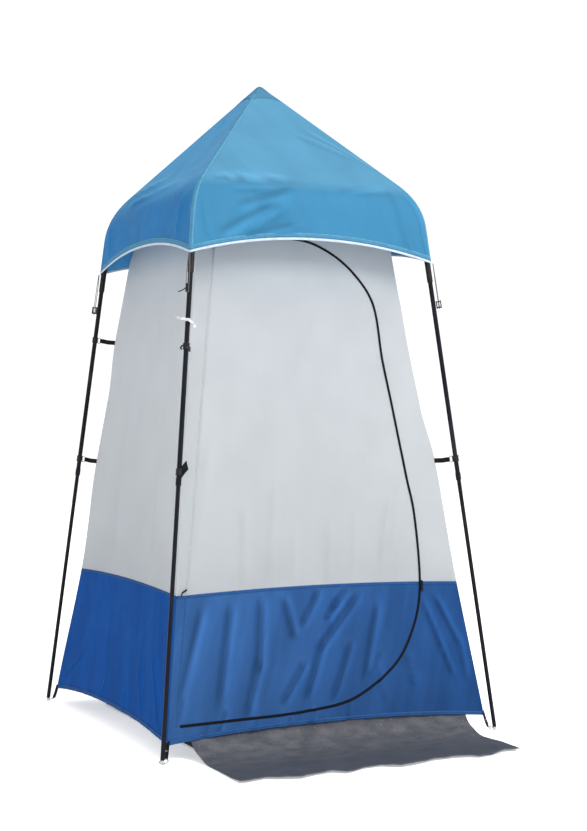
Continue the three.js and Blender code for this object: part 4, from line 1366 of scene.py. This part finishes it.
def make_mat():
    fall = smooth_curve(MAT_FALL, 30)
    columns, laid_rows = 170, 60
    s = np.linspace(0, 1, columns)
    front_x, front_y = zip(*MAT_FRONT)
    front = np.interp(front_x[0] + s * (front_x[-1] - front_x[0]), front_x, front_y)
    t = np.linspace(0, 1, laid_rows + 1)[1:, None]
    y = np.vstack([np.repeat(fall[:, :1], columns, 1), fall[-1, 0] * (1 - t) + front * t])
    z = np.vstack([np.repeat(fall[:, 1:], columns, 1), np.full((laid_rows, columns), LAID_Z)])
    left, right = (
        np.interp(-y, [-py for _, py in edge], [px for px, _ in edge]) for edge in (MAT_LEFT, MAT_RIGHT)
    )
    x = left * (1 - s) + right * s
    out = smoothstep((-y - 0.60) / 0.12)
    edge = smoothstep(1 - (y - front) / 0.07)
    waves = 0.5 + 0.5 * cloth_noise(x, y, 0.16, 70)
    ripples = 0.5 + 0.5 * cloth_noise(x, y * 0.6, 0.055, 75)
    z = z + out * (0.0045 * waves**2 + 0.0022 * ripples) + edge * (0.0055 * ripples**1.5 + 0.003 * waves)
    # The front right corner curls up a little.
    z = z + 0.006 * waves * smoothstep((x - 0.40) / 0.12) * smoothstep((-y - 0.80) / 0.12)
    pleats = 0.004 * (1 - out) * cloth_noise(x, y * 0.2, 0.11, 78)
    mat = ground_cloth("mat_cloth", x, y - np.abs(pleats), z)
    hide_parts("door_mat")
    hem = np.stack([x[-1], y[-1] + 0.006, z[-1] + 0.0004], axis=1)
    across = np.tile([0.0, 1.0, 0.0], (columns, 1))
    upward = np.tile([0.0, 0.0, 1.0], (columns, 1))
    band = strip("mat_hem", hem, across, 0.011, upward, "mat_hem", 0.0008)


def make_groundsheet():
    low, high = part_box("groundsheet")
    count = 70
    x, y = np.meshgrid(np.linspace(low.x, high.x, count), np.linspace(low.y, high.y, count))
    border = np.minimum(np.minimum(x - low.x, high.x - x), np.minimum(y - low.y, high.y - y))
    waves = 0.5 + 0.5 * cloth_noise(x, y, 0.19, 90)
    z = LAID_Z + 0.0035 * waves**2 + 0.006 * (1 - smoothstep(border / 0.05)) * waves
    sheet = ground_cloth("groundsheet_cloth", x, y, z)
    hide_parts("groundsheet")


make_mat()
make_groundsheet()


# ---- straps, feet, ties ----
def leg_up(corner):
    return corner_frame(corner) @ Vector((-math.sin(LEG_TILT), 0, math.cos(LEG_TILT)))


def wall_corner(corner, z):
    side = next(name for name, ends in WALL_ENDS.items() if ends[0] == corner)
    return Vector(wall_points(side, np.array([-0.998 * wall_half(z)]), np.array([z]))[0])


def lathe(name, base, up, profile, material, slot):
    """A turned piece round the line from base along up; the profile holds (radius, height) places."""
    sides = 28
    side = up.orthogonal().normalized()
    front = up.cross(side)
    verts, uv = [], []
    for radius, height in profile:
        for k, (a, b) in enumerate(circle(radius, sides)):
            verts.append(base + up * height + side * a + front * b)
            uv.append((radius * 2 * math.pi * k / sides, height))
    faces = grid_faces(len(profile), sides, rows_meet=True, columns_meet=True)
    return settle(mesh_piece(name, verts, faces, uv), material)


# Outline of a strap's sleeve: (radius, height) round the leg.
SLEEVE = [
    (0.0084, -0.010), (0.0105, -0.0105), (0.0114, -0.0095), (0.0112, -0.0075), (0.0106, -0.006),
    (0.0106, 0.006), (0.0112, 0.0075), (0.0114, 0.0095), (0.0105, 0.0105), (0.0084, 0.010),
]
# Height on the leg of each strap, and how much higher its other end is on the wall's corner.
STRAPS = {
    ("front_left", "low"): (0.905, 0.012), ("front_left", "high"): (1.309, -0.006),
    ("front_right", "low"): (0.936, -0.008), ("back_right", "low"): (0.925, -0.010),
    ("back_right", "high"): (1.371, -0.012), ("back_left", "low"): (0.925, -0.010),
    ("back_left", "high"): (1.371, -0.012),
}


def band_between(name, points, across, width, thickness, material="webbing", slot="webbing"):
    """A strap along a smooth line through the points, its width along the across vector."""
    path = smooth_curve(points, 26)
    wide = np.tile(np.array(Vector(across).normalized()), (len(path), 1))
    normal = unit(np.cross(wide, np.gradient(path, axis=0)))
    return strip(name, path, wide, width, normal, material, thickness)


RING_HALF_WIDTH = 0.0048
RING_HALF_HEIGHT = 0.0105
RING_CORNER = 0.0035
RING_OUT = 0.0165  # from the leg's centre line to the ring's middle
WIRE_RADIUS = 0.0014
WEB_WIDTH = 0.016
WEB_THICKNESS = 0.0024
SHORTEST_WEB = 0.012


def ring_line(centre, wide, tall):
    """The line of a strap's wire ring: a rectangle with rounded corners."""
    steps = 5
    points = []
    for k, (sx, sy) in enumerate(((1, 1), (-1, 1), (-1, -1), (1, -1))):
        for step in range(steps + 1):
            a = math.radians(90 * k + 90 * step / steps)
            right = sx * (RING_HALF_WIDTH - RING_CORNER) + RING_CORNER * math.cos(a)
            up = sy * (RING_HALF_HEIGHT - RING_CORNER) + RING_CORNER * math.sin(a)
            points.append(centre + wide * right + tall * up)
    return points


def make_strap(corner, level, z, rise):
    """A sleeve on the leg, a ring on it, and webbing from the ring to the walls' corner if there is room."""
    name = f"strap_{corner}_{level}"
    up = leg_up(corner)
    base = leg_point(corner, z)
    end = wall_corner(corner, z + rise)
    reach = end - base
    inward = (reach - up * reach.dot(up)).normalized()
    ring_x = min(RING_OUT, reach.length * 0.5)
    sleeve = lathe(f"{name}_sleeve", base, up, SLEEVE, "plastic", "plastic")
    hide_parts(f"pole_strap_{corner}_{level}")
    ring = ring_line(base + inward * ring_x, inward, up)
    tube(f"{name}_ring", ring, WIRE_RADIUS, "grey_plastic", "steel", sides=10, closed=True)
    bar = base + inward * (ring_x + RING_HALF_WIDTH)
    if (end - bar).length <= SHORTEST_WEB:
        return
    middle = bar.lerp(end, 0.5) - Vector((0, 0, 0.0015))
    web = [bar, bar.lerp(middle, 0.5), middle, middle.lerp(end, 0.5), end]
    band_between(f"{name}_webbing", web, up, WEB_WIDTH, WEB_THICKNESS)
    face = inward.cross(up).normalized()
    for k, side in enumerate((1, -1)):
        near = bar + inward * 0.001 + face * side * 0.0022
        far = bar + (end - bar).normalized() * 0.013 + face * side * 0.0018
        band_between(f"{name}_fold_{k}", [near, near.lerp(far, 0.5), far], up, 0.0155, 0.0010)


for (corner, level), (z, rise) in STRAPS.items():
    make_strap(corner, level, z, rise)

VIEW_RIGHT = Vector((0.906, -0.423, 0))  # across the tent's front left corner, for someone who faces it
VIEW_OUT = Vector((-0.423, -0.906, 0))
UP = Vector((0, 0, 1))


def beside_leg(z, *offsets):
    """Places near the front left leg: to its right, above that height, and out from its centre line."""
    base = leg_point("front_left", z)
    return [base + VIEW_RIGHT * right + UP * up + VIEW_OUT * out for right, up, out in offsets]


# The front left corner's lower strap has a tab of webbing, which stands up across the corner.
band_between("corner_tab_webbing", beside_leg(
    0.905, (0.004, -0.006, 0.002), (0.015, 0.009, 0.003), (0.0265, 0.0225, -0.003),
), UP - VIEW_RIGHT * 0.25, 0.028, WEB_THICKNESS)
# The upper one ends in a small hook on the leg's other side.
tube("corner_clip_hook", smooth_curve(beside_leg(
    1.309, (-0.008, 0.004, 0.004), (-0.015, 0.000, 0.004), (-0.018, -0.007, 0.004), (-0.014, -0.010, 0.004),
), 14), 0.0026, "plastic", "plastic")
# Tail of the front left guy loop, held in its tensioner.
tube("guy_tail_front_left", smooth_curve(beside_leg(
    1.498, (-0.009, 0.002, 0.021), (-0.020, -0.006, 0.023), (-0.036, -0.013, 0.022),
), 14), 0.0017, "plastic", "cord")


def make_tie_tape():
    """White tape round the leg, with its knot and its two tails."""
    z = 1.394
    tape = ("white_tape", "tape")
    loop = lathe("tie_tape_loop", leg_point("front_left", z), leg_up("front_left"), [
        (0.0086, -0.0045), (0.0096, -0.0048), (0.0100, -0.002), (0.0101, 0.001), (0.0096, 0.0048),
        (0.0086, 0.0045),
    ], *tape)
    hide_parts("tie_tape")
    knot = beside_leg(z, (-0.006, -0.001, 0.0115), (-0.001, 0.003, 0.0135), (0.005, 0.000, 0.0120))
    tube("tie_tape_knot", smooth_curve(knot, 12), 0.0036, *tape)
    band_between("tie_tape_left", beside_leg(
        z, (-0.003, 0.001, 0.013), (-0.013, 0.0035, 0.015), (-0.023, 0.004, 0.012), (-0.035, 0.010, 0.011),
    ), UP + VIEW_OUT * 0.4, 0.0085, 0.0010, *tape)
    band_between("tie_tape_right", beside_leg(
        z, (0.003, 0.000, 0.013), (0.011, -0.005, 0.015), (0.018, -0.013, 0.014), (0.025, -0.026, 0.012),
    ), UP * 0.7 + VIEW_RIGHT, 0.0085, 0.0010, *tape)


make_tie_tape()


def make_foot(corner):
    """Webbing from the walls' lower corner to the ring on the foot's pin, and its sewn turn."""
    local = corner_frame(corner)
    tangent = local @ Vector((0, 1, 0))
    start = wall_corner(corner, 0.062)
    end = local @ Vector((math.sqrt(2) * FOOT_HALF - 0.0262, 0, 0.0165))
    middle = start.lerp(end, 0.55) - UP * 0.003
    web = band_between(
        f"foot_webbing_{corner}", [start, start.lerp(middle, 0.5), middle, end], tangent + UP * 0.55, 0.018,
        WEB_THICKNESS,
    )
    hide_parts(f"foot_strap_{corner}")
    turn = [end + UP * 0.0035, end + (end - middle).normalized() * 0.0035, end - UP * 0.0035]
    band_between(f"foot_webbing_turn_{corner}", turn, tangent, 0.0165, 0.0014)
    stitch = ((0.0022, -0.0075), (0.0026, 0), (0.0022, 0.0075))
    tack = [middle + UP * up + tangent * side for up, side in stitch]
    tube(f"foot_webbing_tack_{corner}", tack, 0.0007, "white_tape", "webbing", sides=6)


for corner in CORNERS:
    make_foot(corner)


def make_toggle():
    """Toggle of the door's tie-back, on the seam by the hinge."""
    line = wall_points("front", np.linspace(-0.5040, -0.4905, 9), np.linspace(0.5175, 0.5285, 9), 0.0055)
    tube("door_tie_toggle", line, 0.0030, "plastic", "plastic")
    x, z = np.array([(-0.5025, 0.5195), (-0.5040, 0.5165), (-0.5048, 0.512), (-0.5045, 0.5065)]).T
    loop = smooth_curve(wall_points("front", x, z, 0.0045), 16)
    tube("door_tie_cord", loop, 0.0014, "webbing", "cord", sides=8)


make_toggle()


def make_wall_loops():
    """Short webbing from the walls' upper corners to the elbows, under the canopy."""
    for corner in CORNERS:
        start = wall_corner(corner, WALL_TOP_Z - 0.012)
        end = leg_point(corner, WALL_TOP_Z + 0.004, -0.012)
        middle = start.lerp(end, 0.5) - UP * 0.004
        band_between(f"wall_top_webbing_{corner}", [start, middle, end], UP, 0.020, 0.0018)


make_wall_loops()

# ---- finishes of the pieces that keep their CAD shape ----
FINISH_OF = {
    "lower_leg": "pole", "upper_leg": "pole", "roof_pole": "pole", "shoulder_elbow": "plastic",
    "top_hub": "plastic", "ring_pin": "steel", "guy_tensioner": "plastic", "shower_hook": "steel",
    "zip_slider": "slider", "zip_puller": "slider",
}
for name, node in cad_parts.items():
    key = next((k for k in FINISH_OF if name.startswith(k)), None)
    if key:
        for place in node.material_slots:
            place.material = MATERIALS[FINISH_OF[key]]


# ---- floor, light ----
FLOOR_GLOW = 0.36
SURROUNDINGS = 1.1
KEY_TOWARD = Vector((0.26, -0.70, 0.665))
KEY_DISTANCE = 7.0
KEY_SIZE = 3.0
KEY_WATTS = 420


def make_floor():
    size = 14.0
    data = bpy.data.meshes.new("floor")
    corners = [(-size, -size, 0), (size, -size, 0), (size, size, 0), (-size, size, 0)]
    data.from_pydata(corners, [], [(0, 1, 2, 3)])
    floor = bpy.data.objects.new("floor", data)
    bpy.context.scene.collection.objects.link(floor)
    n = Nodes("pale_floor")
    mottle = n.noise(n.coords("Object"), 3.0, 4.0)
    pale = n.ramp(mottle, [(0.3, shade(WHITE, 0.93)), (0.7, shade(WHITE, 0.95))])
    data.materials.append(n.finish(pale, 0.8))
    # A product table that is lit from below, so that shadows on it stay pale.
    n.shader.inputs["Emission Color"].default_value = (*WHITE, 1.0)
    n.shader.inputs["Emission Strength"].default_value = FLOOR_GLOW


def make_light():
    """White surroundings and one large light, high to the front right."""
    bpy.context.scene.view_settings.view_transform = "Standard"
    world = bpy.data.worlds.new("studio")
    bpy.context.scene.world = world
    world.use_nodes = True
    background = world.node_tree.nodes["Background"]
    background.inputs["Color"].default_value = (*WHITE, 1.0)
    background.inputs["Strength"].default_value = SURROUNDINGS
    data = bpy.data.lights.new("key", "AREA")
    data.size = KEY_SIZE
    data.energy = KEY_WATTS
    light = bpy.data.objects.new("key", data)
    light.location = Vector((0, 0, 1.1)) + KEY_TOWARD * KEY_DISTANCE
    light.rotation_euler = (-KEY_TOWARD).to_track_quat("-Z", "Y").to_euler()
    bpy.context.scene.collection.objects.link(light)


make_floor()
make_light()
